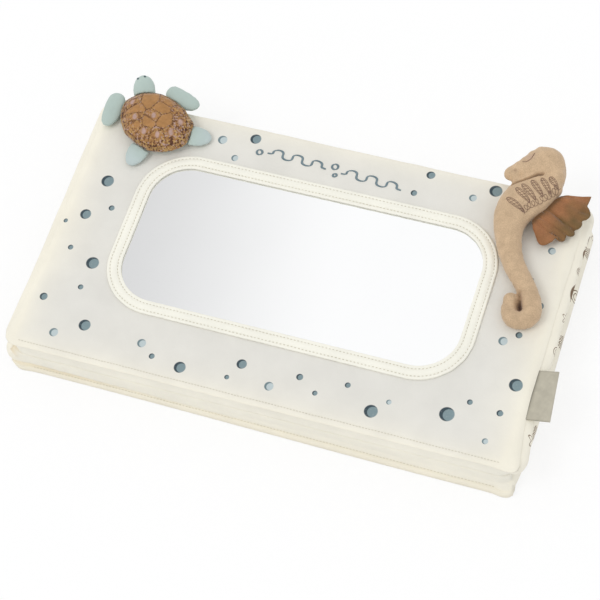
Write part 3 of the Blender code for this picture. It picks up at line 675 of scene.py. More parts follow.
def pulled(x, y, z, part=1.0):
    """A place as the hems pull the panels' front corners out of shape, or a part of the way there."""
    beside = exp(-((abs(x) - 0.195) / 0.022) ** 2 - ((y + 0.1085) / 0.030) ** 2)
    corner = exp(-((abs(x) - 0.193) / 0.008) ** 2 - ((y + 0.1115) / 0.008) ** 2)
    right = x >= 0
    if z > hinge_height:
        rise = soft_step((z - 0.024) / 0.012)
        across = rise * (0.0048 * beside + 0.0024 * corner if right else -0.0040 * beside)
        along = -0.0024 * rise * corner if right else 0.0
    else:
        hem = 1 - soft_step((z - 0.004) / 0.007)
        along = -0.0024 * hem * soft_step((x + 0.15) / 0.3) * bell(y - seam_outline[1], 0.02)
        if right:
            across = 0.0012 * beside + 0.0024 * hem * corner
            along -= 0.0024 * hem * corner
        else:
            reach = 0.0035 + 0.0050 * soft_step(z / 0.009) * (1 - 0.7 * soft_step((z - 0.014) / 0.007))
            across = -reach * beside - 0.0020 * hem * corner
            along -= 0.0020 * hem * corner
    return x + across * part, y + along * part


def front_sway(x, y):
    """The face outline's small departures from straight."""
    return 0.0005 * wobble(x / 0.05, y / 0.05, 31.0) + 0.00025 * wobble(x / 0.011, y / 0.011, 37.0)


def make_face():
    """The printed face, from the pinched front hem and rolled sides in to the mirror's window."""
    counts = (180, 96, 24)
    width = 53.0
    depths = [0.0, 0.25, 0.7, 1.3, 2.0, 2.8, 3.5, 4.1, 4.6, 5.1, 5.8, 6.8, 8.2, 9.9]
    along = run_round(loop(seam_outline, counts)[0])
    rows = []
    for share in [depth / width for depth in [*depths, *np.linspace(11.8, width, 22)]]:
        row = []
        for (x, y), way, run in zip(*loop(between(seam_outline, window_outline, share), counts), along):
            sway = front_sway(x, y) * max(0.0, 1 - share * 6)
            out_x, out_y = pulled(x, y, seam_height)
            row.append((out_x + way[0] * sway, out_y + way[1] * sway, face_level(x, y, share, run)))
        rows.append(row)
    for share in (1.0, 0.5, 0.14, 0.09, 0.05, 0.01):
        under = seam_height + crown(share) - 0.0013
        places, _ = loop(between(seam_outline, window_outline, share), counts)
        rows.append([(*pulled(x, y, seam_height), under - side_roll(x, y)) for x, y in places])
    made = row_piece("face_cloth", rows, "face")
    points = np.array(rows).reshape(-1, 3)
    set_marks(made, points[:, :2], bubble_marks, [face_warmth(x, y) for x, y, _ in points])
    carry(made, "front_panel", "face_cotton", "front_face")
    return made


def wall_row(height, inset, flipped, counts, soft=1.0):
    """A row round a panel's wall at a height above its lining side."""
    share = (height - cloth - gap) / (panel_thickness - 2 * (cloth + gap))
    bulge = float(np.interp(share, wall_heights, wall_bulges))
    places, ways = loop(grown(wall_outline, side_bulge * bulge - inset, end_bulge * bulge - inset), counts)
    row = []
    for (x, y), way, run in zip(places, ways, run_round(places)):
        sides = abs(way[0])
        fold = 0.0004 * wobble(run / 0.024, height / 0.016, 41.0) * sides
        pucker = 0.0004 * wobble(run / 0.0065, height / 0.02, 43.0) * sides
        pucker *= exp(-min(share, 1 - share) / 0.12)
        slack = front_slack[flipped, way[0] > 0] * (1 - soft_step((y - seam_outline[1]) / 0.055))
        push = soft * (fold + pucker) - side_bulge * max(0.0, bulge) * slack * sides
        level = panel_thickness - height if flipped else front_base + height
        x, y = pulled(x, y, level, soft)
        if not flipped:
            level -= 0.0014 * soft_step((share - 0.7) / 0.3) * sides * side_length(y)
        row.append((x + way[0] * push, y + way[1] * push, level))
    return row


def smooth_heights(low, high, steps):
    """Heights from low to high, closer together near both."""
    return [low + (high - low) * (1 - cos(pi * step / steps)) / 2 for step in range(steps + 1)]


def make_band(name, node, body, flipped, seed):
    """The printed cloth band round a panel's sides."""
    counts = (150, 88, 7)
    low = cloth + gap
    high = panel_thickness - cloth - gap
    along = run_round(loop(grown(wall_outline, side_bulge, end_bulge), counts)[0])
    rows = []
    lie = []
    for inset, heights in ((0.0, smooth_heights(low, high, 13)), (cloth, smooth_heights(high, low, 4))):
        for height in heights:
            rows.append(wall_row(height, inset, flipped, counts))
            lie.extend((run, height) for run in along)
    made = row_piece(name, rows, "side")
    marks = [(run, 0.0055 if 0.40 < run < 0.62 else level, size, kind)
             for run, level, size, kind in scattered_marks(1.25, 0.0085, 0.0150, 0.046, 0.0062, seed)
             if run < right_start]
    marks += [(y - right_end, level, size, kind) for y, level, size, kind in right_marks[flipped]]
    set_marks(made, lie, marks)
    carry(made, body, "side_cotton", node)


def inner_outline(outline):
    """A narrow outline along the middle of another, to close a flat cloth with."""
    half, front, back, _ = outline
    middle = (front + back) / 2
    reach = (back - front) / 2 - 0.002
    return (half - reach, middle - 0.002, middle + 0.002, 0.0005)


def make_plate(name, outline, low, high, material, counts, row_count, ripple, marks=no_marks):
    """A flat cloth with round corners, rippled a little on both sides by ripple(x, y, edge, top)."""
    middle = inner_outline(outline)
    shares = [(step / row_count) ** 1.25 for step in range(row_count + 1)]
    rows = []
    for level, run in ((high, shares[::-1]), (low, shares)):
        for share in run:
            places, _ = loop(between(outline, middle, share), counts)
            rows.append([
                (x, y, level + ripple(x, y, edge_distance(x, y, outline), level == high)) for x, y in places
            ])
    made = row_piece(name, rows, material, joined=False)
    set_marks(made, np.array(rows).reshape(-1, 3)[:, :2] + (outline[0], -outline[1]), marks)
    return made


def lining_ripple(up):
    """Ripples of a lining: only towards the pad, so that the fold stays clear."""
    def ripple(x, y, edge, top):
        wave = 0.5 + 0.5 * wobble(x / 0.018, y / 0.022, 51.0)
        near = exp(-edge / 0.010) * (0.5 + 0.5 * wobble(x / 0.005, y / 0.005, 53.0))
        return (0.0002 * wave + 0.0004 * near) * up * min(1.0, edge / 0.002)
    return ripple


def cover_ripple(x, y, edge, top):
    """Ripples of the underside's cloth: a pinched front hem with puckers, flat where it stands."""
    front = y - seam_outline[1]
    pucker = 0.5 + 0.5 * wobble(x / 0.0045, front / 0.015, 57.0)
    lift = 0.0007 * pucker * exp(-front / 0.004)
    rest = 0.00025 * (0.5 + 0.5 * wobble(x / 0.03, y / 0.03, 59.0)) * min(1.0, edge / 0.01)
    return lift + (rest if not top else 0.0)


def make_flat_cloths():
    """The two linings at the fold and the printed cover underneath."""
    outline = grown(wall_outline, side_bulge * wall_bulges[0], end_bulge * wall_bulges[0])
    for name, low, up, body, node, pad in (
            ("lining_upper", front_base, 1.0, "front_panel", "front_lining", "pad_upper"),
            ("lining_lower", rear_top - cloth, -1.0, "rear_panel", "rear_lining", "pad_lower")):
        made = make_plate(name, outline, low, low + cloth, "plain", (64, 38, 4), 12, lining_ripple(up))
        carry(made, body, "plain_cotton", node)
    marks = scattered_marks(0.39, 0.012, 0.215, 0.034, 0.0085, 5)
    made = make_plate("cover_cloth", seam_outline, 0.0, cloth, "side", (110, 62, 6), 24, cover_ripple, marks)
    for vertex in made.data.vertices:
        vertex.co.x, vertex.co.y = pulled(vertex.co.x, vertex.co.y, 0.0)
    carry(made, "rear_panel", "side_cotton", "rear_cover")


def make_pads():
    """The two pads, the upper one with the shallow pocket for the mirror."""
    counts = (70, 40, 6)
    inset = cloth + gap
    low = cloth + board_thickness + 2 * gap
    rows = [wall_row(height, inset + pad_inset, False, counts, 0.0)
            for height in smooth_heights(low, panel_thickness - 2 * inset - 0.0022, 9)]
    rim = (seam_outline[0] - inset, wall_outline[1] + inset, wall_outline[2] - inset, 0.010)
    pocket = grown(window_outline, -gap)
    for share in (0.03, 0.08, 0.15, 0.25, 0.4, 0.6, 0.8, 0.94, 1.0):
        level = seam_height + crown(share) - inset - (0.0012 if share == 1.0 else 0.0005)
        places, _ = loop(between(rim, pocket, share), counts)
        rows.append([(x, y, level - side_roll(x, y) - 0.0002 * wobble(x / 0.02, y / 0.02, 61.0))
                     for x, y in places])
    for inward, level in ((0.0003, pocket_floor + 0.001), (0.001, pocket_floor)):
        places, _ = loop(grown(pocket, -inward), counts)
        rows.append([(x, y, level) for x, y in places])
    made = row_piece("pad_upper", rows, "foam", joined=False)
    carry(made, "front_panel", "foam", "front_foam")
    rows = [wall_row(height, inset + pad_inset, True, counts, 0.0)
            for height in smooth_heights(low, panel_thickness - inset, 10)]
    made = row_piece("pad_lower", rows, "foam", joined=False)
    carry(made, "rear_panel", "foam", "rear_foam")


def make_trim():
    """The padded ring round the mirror, held down by a row of stitches near each edge."""
    base = seam_height + face_crown + gap
    profile = (
        (-0.5, 0.0), (-0.5, 0.34), (-0.455, 0.50), (-0.36, 0.58), (-0.29, 0.46), (trim_rows[0], 0.36),
        (-0.21, 0.48), (-0.12, 0.68), (0.0, 0.76), (0.12, 0.72), (0.22, 0.54), (trim_rows[1], 0.40),
        (0.32, 0.50), (0.40, 0.58), (0.46, 0.50), (0.5, 0.32), (0.5, -0.1), (0.2, -0.1), (-0.2, -0.1),
    )
    along = run_round(loop(grown(trim_outline, profile[0][0] * trim_width), trim_counts)[0])
    turn = tau * trim_stitches / (along[-1] + along[1])
    rows = []
    for across, up in profile:
        places, ways = loop(grown(trim_outline, across * trim_width), trim_counts)
        sewn = max(bell(across - row, 0.07) for row in trim_rows) if up > 0.3 else 0.0
        thick = min(1.0, max(up - 0.3, 0.0) / 0.2)
        row = []
        for (x, y), way, run in zip(places, ways, along):
            pucker = wobble(run / 0.0042, across * 0.6, 71.0) + 0.7 * wobble(run / 0.013, across * 1.5, 73.0)
            lift = trim_height * up * (1 + 0.13 * pucker * thick) + 0.00016 * sewn * cos(turn * run)
            side = 0.00018 * wobble(run / 0.005, across * 2, 79.0) * (abs(across) > 0.3)
            row.append((x + way[0] * side, y + way[1] * side, base + lift))
        rows.append(row)
    made = row_piece("trim_ring", rows, "trim")
    carry(made, "front_panel", "trim_cotton", "mirror_trim")
    return made


def smooth_line(table, each):
    """More points on a smooth line through the given ones."""
    table = np.array(table, float)
    padded = np.vstack([2 * table[0] - table[1], table, 2 * table[-1] - table[-2]])
    rows = []
    for step in range(each * (len(table) - 1) + 1):
        here = min(step // each, len(table) - 2)
        t = step / each - here
        a, b, c, d = padded[here:here + 4]
        rows.append((2 * b + (c - a) * t + (2 * a - 5 * b + 4 * c - d) * t * t
                     + (3 * b - a - 3 * c + d) * t ** 3) / 2)
    return np.array(rows)


def thick_sheet(name, grid, thickness, material, lie, marks=no_marks, tone_and_shade=None):
    """A closed cloth from a grid of middle points, half its thickness to each side."""
    rows, columns = grid.shape[:2]
    normal = np.cross(np.gradient(grid, axis=0), np.gradient(grid, axis=1))
    normal *= thickness / 2 / np.linalg.norm(normal, axis=2, keepdims=True)
    points = np.concatenate([(grid + normal).reshape(-1, 3), (grid - normal).reshape(-1, 3)])
    count = rows * columns
    faces = grid_faces(rows, columns)
    faces += [tuple(count + corner for corner in face[::-1]) for face in faces]
    border = [(row, 0) for row in range(rows - 1)] + [(rows - 1, column) for column in range(columns - 1)]
    border += [(row, columns - 1) for row in range(rows - 1, 0, -1)]
    border += [(0, column) for column in range(columns - 1, 0, -1)]
    border = [row * columns + column for row, column in border]
    for here, after in zip(border, border[1:] + border[:1]):
        faces.append((here, after, count + after, count + here))
    made = add_piece(name, points, faces, material)
    lie = np.asarray(lie, float).reshape(-1, 2)
    if tone_and_shade is not None:
        tone_and_shade = np.concatenate([np.ravel(tone_and_shade)] * 2)
    set_marks(made, np.concatenate([lie, lie]), marks, tone_and_shade)
    return made


def web_row(share):
    """The web's section at a share of its width, from the upper hem to the lower one."""
    x = web_half_width * (2 * share - 1)
    round_corner = max(0.0, abs(x) - hem_corner)
    back = min(0.0042, 0.010 - sqrt(max(0.0, 0.010 ** 2 - round_corner ** 2)))
    out = seam_outline[1] + 0.0005
    wall = -0.1097
    fold = -0.0515
    sag = 0.0010 * sin(pi * share) ** 2
    mouth = 0.0007 + 0.0003 * max(0.0, 1 - share * 3.5)
    pinch = 0.0006 + 0.0007 * soft_step((0.32 - share) / 0.25)
    table = [
        (out, 0.0425), (out + 0.0014, 0.0421), (wall - 0.0008, 0.0408), (wall - 0.0001, 0.0378),
        (wall + 0.0002 - sag / 3, 0.0338), (wall, 0.0300), (wall - 0.0004, 0.0266), (wall - 0.0008, 0.0243),
        (wall + 0.0006, hinge_height + mouth + 0.0002), (wall + 0.0050, hinge_height + 0.0007),
        (wall + 0.022, hinge_height + 0.00058), (wall + 0.040, hinge_height + 0.00036),
        (fold - 0.004, hinge_height + 0.00026), (fold, hinge_height),
        (fold - 0.004, hinge_height - 0.00026), (wall + 0.040, hinge_height - 0.00036),
        (wall + 0.022, hinge_height - 0.00058), (wall + 0.0060, hinge_height - 0.0007),
        (wall + 0.0010, hinge_height - mouth - 0.0001), (wall - 0.0003, 0.0200), (wall - 0.0004, 0.0170),
        (wall - 0.0005 + sag / 3, 0.0120), (wall - 0.0005, 0.0082), (wall - 0.0008 + pinch, 0.0050),
        (wall - 0.0018, 0.0046), (wall - 0.0032, 0.0032), (out - 0.0003, 0.0014),
    ]
    line = smooth_line(table, 3)
    points = []
    for y, z in line:
        open_wall = min(1.0, abs(z - hinge_height) / 0.006) if y < wall + 0.003 else 0.0
        near_hem = exp(-(0.042 - z) / 0.005) + exp(-(z - 0.0025) / 0.004)
        fold_wave = 0.0007 * (wobble(x / 0.03, z / 0.014, 83.0) + 0.25)
        fold_wave *= open_wall * (1 - min(1.0, near_hem))
        pucker = 0.0005 * wobble(x / 0.0048, z / 0.010, 89.0) * exp(-abs(z - 0.005) / 0.003)
        outer = soft_step((wall + 0.008 - y) / 0.008)
        out_x, out_y = pulled(x, y, z, outer)
        points.append((out_x, out_y + back - fold_wave - max(0.0, pucker) * min(1.0, abs(y - out) / 0.002), z))
    return points


def web_shade_and_hem_tone(x, y, z):
    """Painted ochre shade in the web's left corner, along the hem's crease there and just under the upper hem,
    and a yellowish tone towards the lower hem.
    """
    if y > -0.104 and x > -0.185:
        return 0.0
    corner = 0.6 * exp(-((x + 0.200) / 0.006) ** 2 - ((z - 0.0190) / 0.007) ** 2)
    crease = 0.2 * soft_step((-0.100 - x) / 0.06) * bell(z - 0.0050, 0.0008)
    hem = 0.20 * exp(-max(0.0, z - 0.003) / 0.002) + 0.08 * exp(-(0.0425 - z) / 0.003)
    return min(1.0, corner + crease + hem)


def make_web():
    """The cloth between the front hems, folded in between the panels."""
    columns = 150
    grid = np.array([web_row(column / columns) for column in range(columns + 1)]).transpose(1, 0, 2)
    steps = np.linalg.norm(np.diff(grid[:, columns // 2], axis=0), axis=1)
    down = np.concatenate([[0.0], np.cumsum(steps)])
    lie = [[(grid[row, column, 0], down[row]) for column in range(columns + 1)] for row in range(len(down))]
    # Painted ochre shade in the corner, the crease and under the upper hem, and the lower hem's yellowish tone
    tone_and_shade = [web_shade_and_hem_tone(*point) for point in grid.reshape(-1, 3)]
    made = thick_sheet("web_cloth", grid, 0.0004, "plain", lie, tone_and_shade=tone_and_shade)
    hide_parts("base_web")
    return made


def make_spine():
    """The printed cloth over the back edge."""
    outer = panel_depth / 2 - cloth / 2
    low = 0.004
    high = 0.040
    rows = 26
    columns = 130
    grid = []
    lie = []
    for row in range(rows + 1):
        z = high - (high - low) * row / rows
        line = []
        for column in range(columns + 1):
            x = spine_half_width * (2 * column / columns - 1)
            crease = bell(z - hinge_height, 0.0035)
            edge = exp(-min(z - low, high - z) / 0.0016)
            wave = 0.0003 * wobble(x / 0.018, z / 0.009, 91.0) * (1 - edge)
            pucker = 0.0002 * wobble(x / 0.0045, z / 0.02, 93.0)
            line.append((-x, outer - 0.001 * crease - 0.0002 * edge + wave + pucker, z))
            lie.append((x + spine_half_width, z))
        grid.append(line)
    marks = scattered_marks(0.38, 0.012, 0.030, 0.040, 0.0068, 9)
    made = thick_sheet("spine_cloth", np.array(grid), 0.0009, "side", lie, marks)
    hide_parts("hinge_spine")
    return made


def surface(made):
    """What a ray or a nearest-point search meets."""
    mesh = made.data
    return BVHTree.FromPolygons([v.co for v in mesh.vertices], [tuple(p.vertices) for p in mesh.polygons])


def lay(tree, places):
    """A line of places, in metres, laid on a surface from above, with the way out at each."""
    line = []
    for x, y in places:
        point, normal, _, _ = tree.ray_cast(Vector((x, y, 0.2)), Vector((0.0, 0.0, -1.0)))
        if point is not None:
            line.append((point, normal if normal.z > 0 else -normal))
    return line


def spaced(line, pitch):
    """Points at even steps along a line of points and normals, with the way along at each."""
    spots = []
    left = pitch / 2
    for (start, start_up), (end, end_up) in zip(line, line[1:]):
        length = (end - start).length
        if length == 0.0:
            continue
        while left <= length:
            share = left / length
            up = start_up.lerp(end_up, share).normalized()
            spots.append((start.lerp(end, share), (end - start).normalized(), up))
            left += pitch
        left -= length
    return spots


def running(lines, pitch, length):
    """Stitches of one length at even steps along lines."""
    return [(*spot, length) for line in lines for spot in spaced(line, pitch)]


def single(lines):
    """One stitch from the first point of each line to its last."""
    stitches = []
    for line in lines:
        if len(line) > 1:
            (start, start_up), (end, end_up) = line[0], line[-1]
            reach = end - start
            up = (start_up + end_up).normalized()
            stitches.append(((start + end) / 2, reach.normalized(), up, reach.length))
    return stitches


def sew(name, stitches, material, radius, body, slot, sink=0.35):
    """Thread laid on a surface, one short capsule for each stitch, that rides on a body."""
    sides = 6
    rings = ((-0.5, 0.35), (-0.34, 0.9), (0.34, 0.9), (0.5, 0.35))
    points = []
    faces = []
    for spot, along, up, long in stitches:
        side = along.cross(up).normalized()
        up = side.cross(along).normalized()
        middle = spot + up * radius * (1 - 2 * sink)
        start = len(points)
        for run, wide in rings:
            for step in range(sides):
                angle = tau * step / sides
                reach = radius * wide
                points.append(middle + along * (run * long) + side * (reach * cos(angle))
                              + up * (reach * sin(angle)))
        faces += [tuple(start + corner for corner in face) for face in grid_faces(len(rings), sides, True)]
        faces.append(tuple(range(start, start + sides))[::-1])
        faces.append(tuple(range(start + 3 * sides, start + 4 * sides)))
    carry(add_piece(name, points, faces, material), body, slot)


def straight(first, last, steps):
    """Places at even steps from one to another."""
    return [between(first, last, step / steps) for step in range(steps + 1)]


def make_topstitch(face_tree, trim, web):
    """Rows of stitches at the two front hems and along both edges of the trim."""
    front = seam_outline[1]
    hem = [(x, front + hem_depth + 0.0003 * wobble(x / 0.03, 0.0))
           for x, _ in straight((-0.187, 0), (0.187, 0), 150)]
    sew("hem_stitches_upper", running([lay(face_tree, hem)], *upper_hem_stitch), "shade_thread",
        upper_hem_thread, "front_panel", "face_cotton")
    web_tree = surface(web)
    low = []
    for x, _ in straight((-0.183, 0), (0.183, 0), 150):
        point, normal, _, _ = web_tree.ray_cast(Vector((x, front - 0.004, 0.0078)), Vector((0.0, 0.9, -0.44)))
        if point is not None:
            low.append((point, normal if normal.y < 0 or normal.z > 0 else -normal))
    sew("hem_stitches_lower", running([low], *lower_hem_stitch), "cream_thread", lower_hem_thread,
        "rear_panel", "plain_cotton")
    trim_tree = surface(trim)
    stitches = []
    for across in trim_rows:
        places, _ = loop(grown(trim_outline, across * trim_width), trim_counts)
        line = lay(trim_tree, np.vstack([places, places[:1]]))
        length = sum((end[0] - start[0]).length for start, end in zip(line, line[1:]))
        stitches += running([line], length / trim_stitches, trim_stitch_length)
    sew("trim_stitches", stitches, "shade_thread", trim_thread, "front_panel", "trim_cotton", sink=0.2)


def make_wave_embroidery(face_tree):
    """A plain line of rolling waves with small rings, in satin stitch, sewn above the mirror."""
    lines = []

    def column(places):
        """Short stitches side by side across a path, wider where it runs down to the right."""
        for (ax, ay), (bx, by) in zip(places, places[1:]):
            length = hypot(bx - ax, by - ay)
            way = ((bx - ax) / length, (by - ay) / length)
            half = 0.00042 + 0.00050 * abs(way[0] * 0.5 - way[1] * 0.87)
            side = (-way[1] * half, way[0] * half)
            lines.append(lay(face_tree, ((ax - side[0], ay - side[1]), (ax + side[0], ay + side[1]))))

    steps = 260
    crests = 3
    for start, end in (((-0.0555, 0.0950), (-0.0070, 0.0925)), ((0.0055, 0.0915), (0.0545, 0.0890))):
        places = []
        for step, (x, y) in enumerate(straight(start, end, steps)):
            share = step / steps
            turn = tau * (crests * share - 0.25)
            fade = 0.5 + 0.5 * soft_step(min(share, 1 - share) / 0.2)
            places.append((x - 0.0013 * sin(2 * turn), y + 0.0034 * sin(turn) * fade))
        column(places)
    for x, y, radius in ((-0.0620, 0.0925, 0.0022), (-0.0008, 0.0945, 0.0024), (0.0012, 0.0872, 0.0014)):
        column([(x + radius * cos(tau * s / 44), y + radius * sin(tau * s / 44))
                for s in range(45)])
    sew("wave_embroidery", single(lines), "wave_thread", satin_thread, "front_panel", "face_cotton", sink=0.1)


def evaluated(made):
    """Replace a piece's mesh by what its modifiers make of it."""
    graph = bpy.context.evaluated_depsgraph_get()
    mesh = bpy.data.meshes.new_from_object(made.evaluated_get(graph))
    old = made.data
    made.modifiers.clear()
    made.data = mesh
    bpy.data.meshes.remove(old)


def point_table(mesh):
    table = np.empty(len(mesh.vertices) * 3)
    mesh.vertices.foreach_get("co", table)
    return table.reshape(-1, 3)


def put_points(mesh, table):
    mesh.vertices.foreach_set("co", table.ravel())
    mesh.update()


def swell(made, cap):
    """Blow a stuffed piece up by a short cloth simulation, each point at most cap away."""
    start = point_table(made.data)
    press = made.modifiers.new("Cloth", "CLOTH")
    for key, value in {"use_pressure": True, "uniform_pressure_force": swell_pressure, "quality": 4,
                       "tension_stiffness": 8.0, "compression_stiffness": 8.0,
                       "bending_stiffness": 0.05}.items():
        setattr(press.settings, key, value)
    press.settings.effector_weights.gravity = 0.0
    press.collision_settings.use_collision = False
    press.point_cache.frame_end = swell_frames
    for number in range(1, swell_frames + 1):
        bpy.context.scene.frame_set(number)
    evaluated(made)
    bpy.context.scene.frame_set(1)
    moved = point_table(made.data) - start
    reach = np.linalg.norm(moved, axis=1, keepdims=True)
    placed = start + moved * np.minimum(1.0, cap / np.maximum(reach, 1e-9))
    placed[:, 2] = np.maximum(placed[:, 2], np.minimum(toy_seat, start[:, 2]))
    put_points(made.data, placed)


def stuffed(name, nodes, voxel, material, body, slot, cap, soften=4, lumps=(), grow=0.0):
    """A stuffed toy part: its solids, with lumps of stuffing where they join, remeshed and swollen."""
    points = []
    faces = []
    for node in nodes:
        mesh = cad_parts[node].data
        start = len(points)
        points += [vertex.co + vertex.normal * grow for vertex in mesh.vertices]
        faces += [tuple(start + corner for corner in face.vertices) for face in mesh.polygons]
    rings, sides = 11, 24
    for middle, half in lumps:
        start = len(points)
        for ring in range(1, rings + 1):
            tilt = pi * ring / (rings + 1)
            for step in range(sides):
                turn = tau * step / sides
                way = (sin(tilt) * cos(turn), sin(tilt) * sin(turn), cos(tilt))
                points.append(Vector([(c + h * w) / 1000 for c, h, w in zip(middle, half, way)]))
        faces += [tuple(start + corner for corner in face[::-1]) for face in grid_faces(rings, sides, True)]
        faces.append(tuple(start + step for step in range(sides)))
        faces.append(tuple(start + (rings - 1) * sides + step for step in range(sides))[::-1])
    made = add_piece(name, points, faces, material)
    remesh = made.modifiers.new("Remesh", "REMESH")
    remesh.mode = "VOXEL"
    remesh.voxel_size = voxel
    smooth = made.modifiers.new("Soften", "SMOOTH")
    smooth.factor = 0.5
    smooth.iterations = soften
    evaluated(made)
    if grow:
        reshape(made, lambda place, normal: -0.6 * grow)
    swell(made, cap)
    made.data.materials.clear()
    made.data.materials.append(finishes[material])
    made.data.shade_smooth()
    carry(made, body, slot, *nodes)
    return made


def reshape(made, move):
    """Move each point by move(place, normal): a length along its normal, or the whole way."""
    table = point_table(made.data)
    normals = [vertex.normal.copy() for vertex in made.data.vertices]
    for here, normal in enumerate(normals):
        moved = move(Vector(table[here]), normal)
        table[here] += np.array(moved if isinstance(moved, Vector) else normal) * (
            1.0 if isinstance(moved, Vector) else moved)
    put_points(made.data, table)


def tint(made, paint):
    """Colour each point by paint(place, normal)."""
    colours = [(*paint(vertex.co, vertex.normal), 1.0) for vertex in made.data.vertices]
    set_attribute(made, "tint", colours, "FLOAT_COLOR")


def seam_and_puckers(depth, fine=0.0003):
    """A groove where the two halves are sewn together, with puckers that run out of it."""
    def move(place, normal):
        pucker = cloudy(place, 0.0035, 101.0)
        soft = wobble(place.x / 0.012, place.y / 0.012, place.z / 0.012 + 9)
        return -depth * bell(normal.z, 0.14) + 0.0003 * pucker * bell(normal.z, 0.5) + fine * soft
    return move


# Turtle: middles of the shell's plates in millimetres, how densely each is stitched over, and any spot
shell_plates = (
    (-155.5, 106.0, 0.0, 0), (-141.2, 111.7, 0.3, 0), (-144.5, 101.6, 0.0, 0), (-149.9, 86.8, 0.0, 0),
    (-138.0, 90.8, 0.0, 0), (-163.7, 96.3, 0.2, 0), (-158.1, 83.1, 0.6, 0), (-162.0, 89.3, 0.7, 1),
    (-147.2, 93.2, 0.4, 1), (-151.0, 79.0, 0.8, 1), (-139.5, 78.6, 0.9, 1), (-129.9, 83.2, 1.0, 1),
    (-126.0, 94.5, 1.0, 1), (-129.6, 106.4, 0.9, 0), (-169.3, 102.4, 0.9, 1),
)
shell_half_length = 0.0322
shell_half_width = 0.0243
shell_turn = tau * 0.436
rim_share = 0.90
corner_angle = 0.22


def shell_share(x, y):
    """How far out a place lies on the shell, 1 at its rim."""
    dx, dy = x - shell_middle.x, y - shell_middle.y
    angle = atan2(dy, dx) - shell_turn
    reach = 1 / hypot(cos(angle) / shell_half_length, sin(angle) / shell_half_width)
    corner = 0.035 * max(0.0, cos(6 * angle)) ** 2
    return hypot(dx, dy) / (reach * (1 - 0.0175 + corner))


def plate_distances(x, y):
    """The nearest plate's number, its distance and the next one's, in millimetres."""
    spans = sorted(
        (hypot(x * 1000 - plate[0], y * 1000 - plate[1]), number)
        for number, plate in enumerate(shell_plates)
    )
    return spans[0][1], spans[0][0], spans[1][0]


def shell_paint(place, normal):
    """Caramel plates, with mauve spots on the outer ones and a darker rim."""
    x, y, _, spotted = shell_plates[plate_distances(place.x, place.y)[0]]
    if shell_share(place.x, place.y) > rim_share or normal.z < 0.3:
        return shade(caramel, 0.86)
    if spotted:
        dx, dy = place.x * 1000 - x, place.y * 1000 - y
        oval = hypot(0.966 * dx + 0.26 * dy, (0.966 * dy - 0.26 * dx) / 1.5)
        oval += 0.4 * cloudy(place, 0.002, 33.0)
        return between(mauve, shade(caramel, 0.88), (oval - 1.4) / 0.6)
    cloud = cloudy(place, 0.006, 15.0)
    return between(caramel, shade(caramel, 0.82), 0.3 + 0.5 * cloud)


def shell_stipple(place, normal):
    """How densely short mixed stitches cover the shell at a place."""
    number, near, following = plate_distances(place.x, place.y)
    if shell_share(place.x, place.y) > rim_share - 0.03 or normal.z < 0.3:
        return 1.0
    patchy = min(1.0, 0.85 + 0.5 * cloudy(place, 0.004, 131.0))
    dense = shell_plates[number][2] * clamp((near - 2.2) / 0.8) * patchy
    return max(0.75 * bell(following - near, 1.0), dense)


def shell_shape(place, normal):
    """Plates that stand up a little between their stitched lines."""
    if normal.z < 0.2:
        return 0.0002 * cloudy(place, 0.004, 3.0)
    _, near, following = plate_distances(place.x, place.y)
    out = shell_share(place.x, place.y)
    valley = bell(following - near, 1.6) if out < rim_share else 0.0
    sunk = max(valley, 0.6 * bell(out - rim_share, 0.045))
    return -0.0005 * sunk + 0.0003 * cloudy(place, 0.007, 8.0)


def shell_corner(place, normal):
    """Draw the shell's rim out to a small point at its right."""
    turn = atan2(place.y - shell_middle.y, place.x - shell_middle.x) - corner_angle
    turn = (turn + pi) % tau - pi
    pull = 0.0026 * bell(turn, 0.20) * soft_step((shell_share(place.x, place.y) - 0.55) / 0.45)
    return Vector((cos(corner_angle), sin(corner_angle), 0.0)) * pull


def rim_place(way, share):
    """A place on the shell in a direction from its middle, at a share of the way to its rim."""
    low, high = 0.005, 0.05
    for _ in range(24):
        middle = (low + high) / 2
        inside = shell_share(shell_middle.x + middle * way[0], shell_middle.y + middle * way[1]) < share
        low, high = (middle, high) if inside else (low, middle)
    return shell_middle.x + middle * way[0], shell_middle.y + middle * way[1]


def shell_lines():
    """The stitched lines between the plates, and the one inside the rim."""
    lines = []
    for number, (ax, ay, _, _) in enumerate(shell_plates):
        for bx, by, _, _ in shell_plates[number + 1:]:
            length = hypot(bx - ax, by - ay)
            way = (-(by - ay) / length, (bx - ax) / length)
            line = []
            for step in range(-60, 61):
                x = ((ax + bx) / 2 + way[0] * step * 0.4) / 1000
                y = ((ay + by) / 2 + way[1] * step * 0.4) / 1000
                own = hypot(x * 1000 - ax, y * 1000 - ay)
                if own - plate_distances(x, y)[1] < 0.05 and shell_share(x, y) < rim_share:
                    line.append((x, y))
            if len(line) > 3:
                lines.append(line)
    turns = [tau * step / 120 for step in range(121)]
    return lines + [[rim_place((cos(turn), sin(turn)), rim_share) for turn in turns]]


def limb_paint(near_colour, far_colour, span):
    """A colour that fades away from the shell."""
    def paint(place, normal):
        out = (shell_share(place.x, place.y) - 1.0) / span
        cloud = 0.12 * cloudy(place, 0.005, 19.0)
        return between(near_colour, far_colour, out + cloud)
    return paint


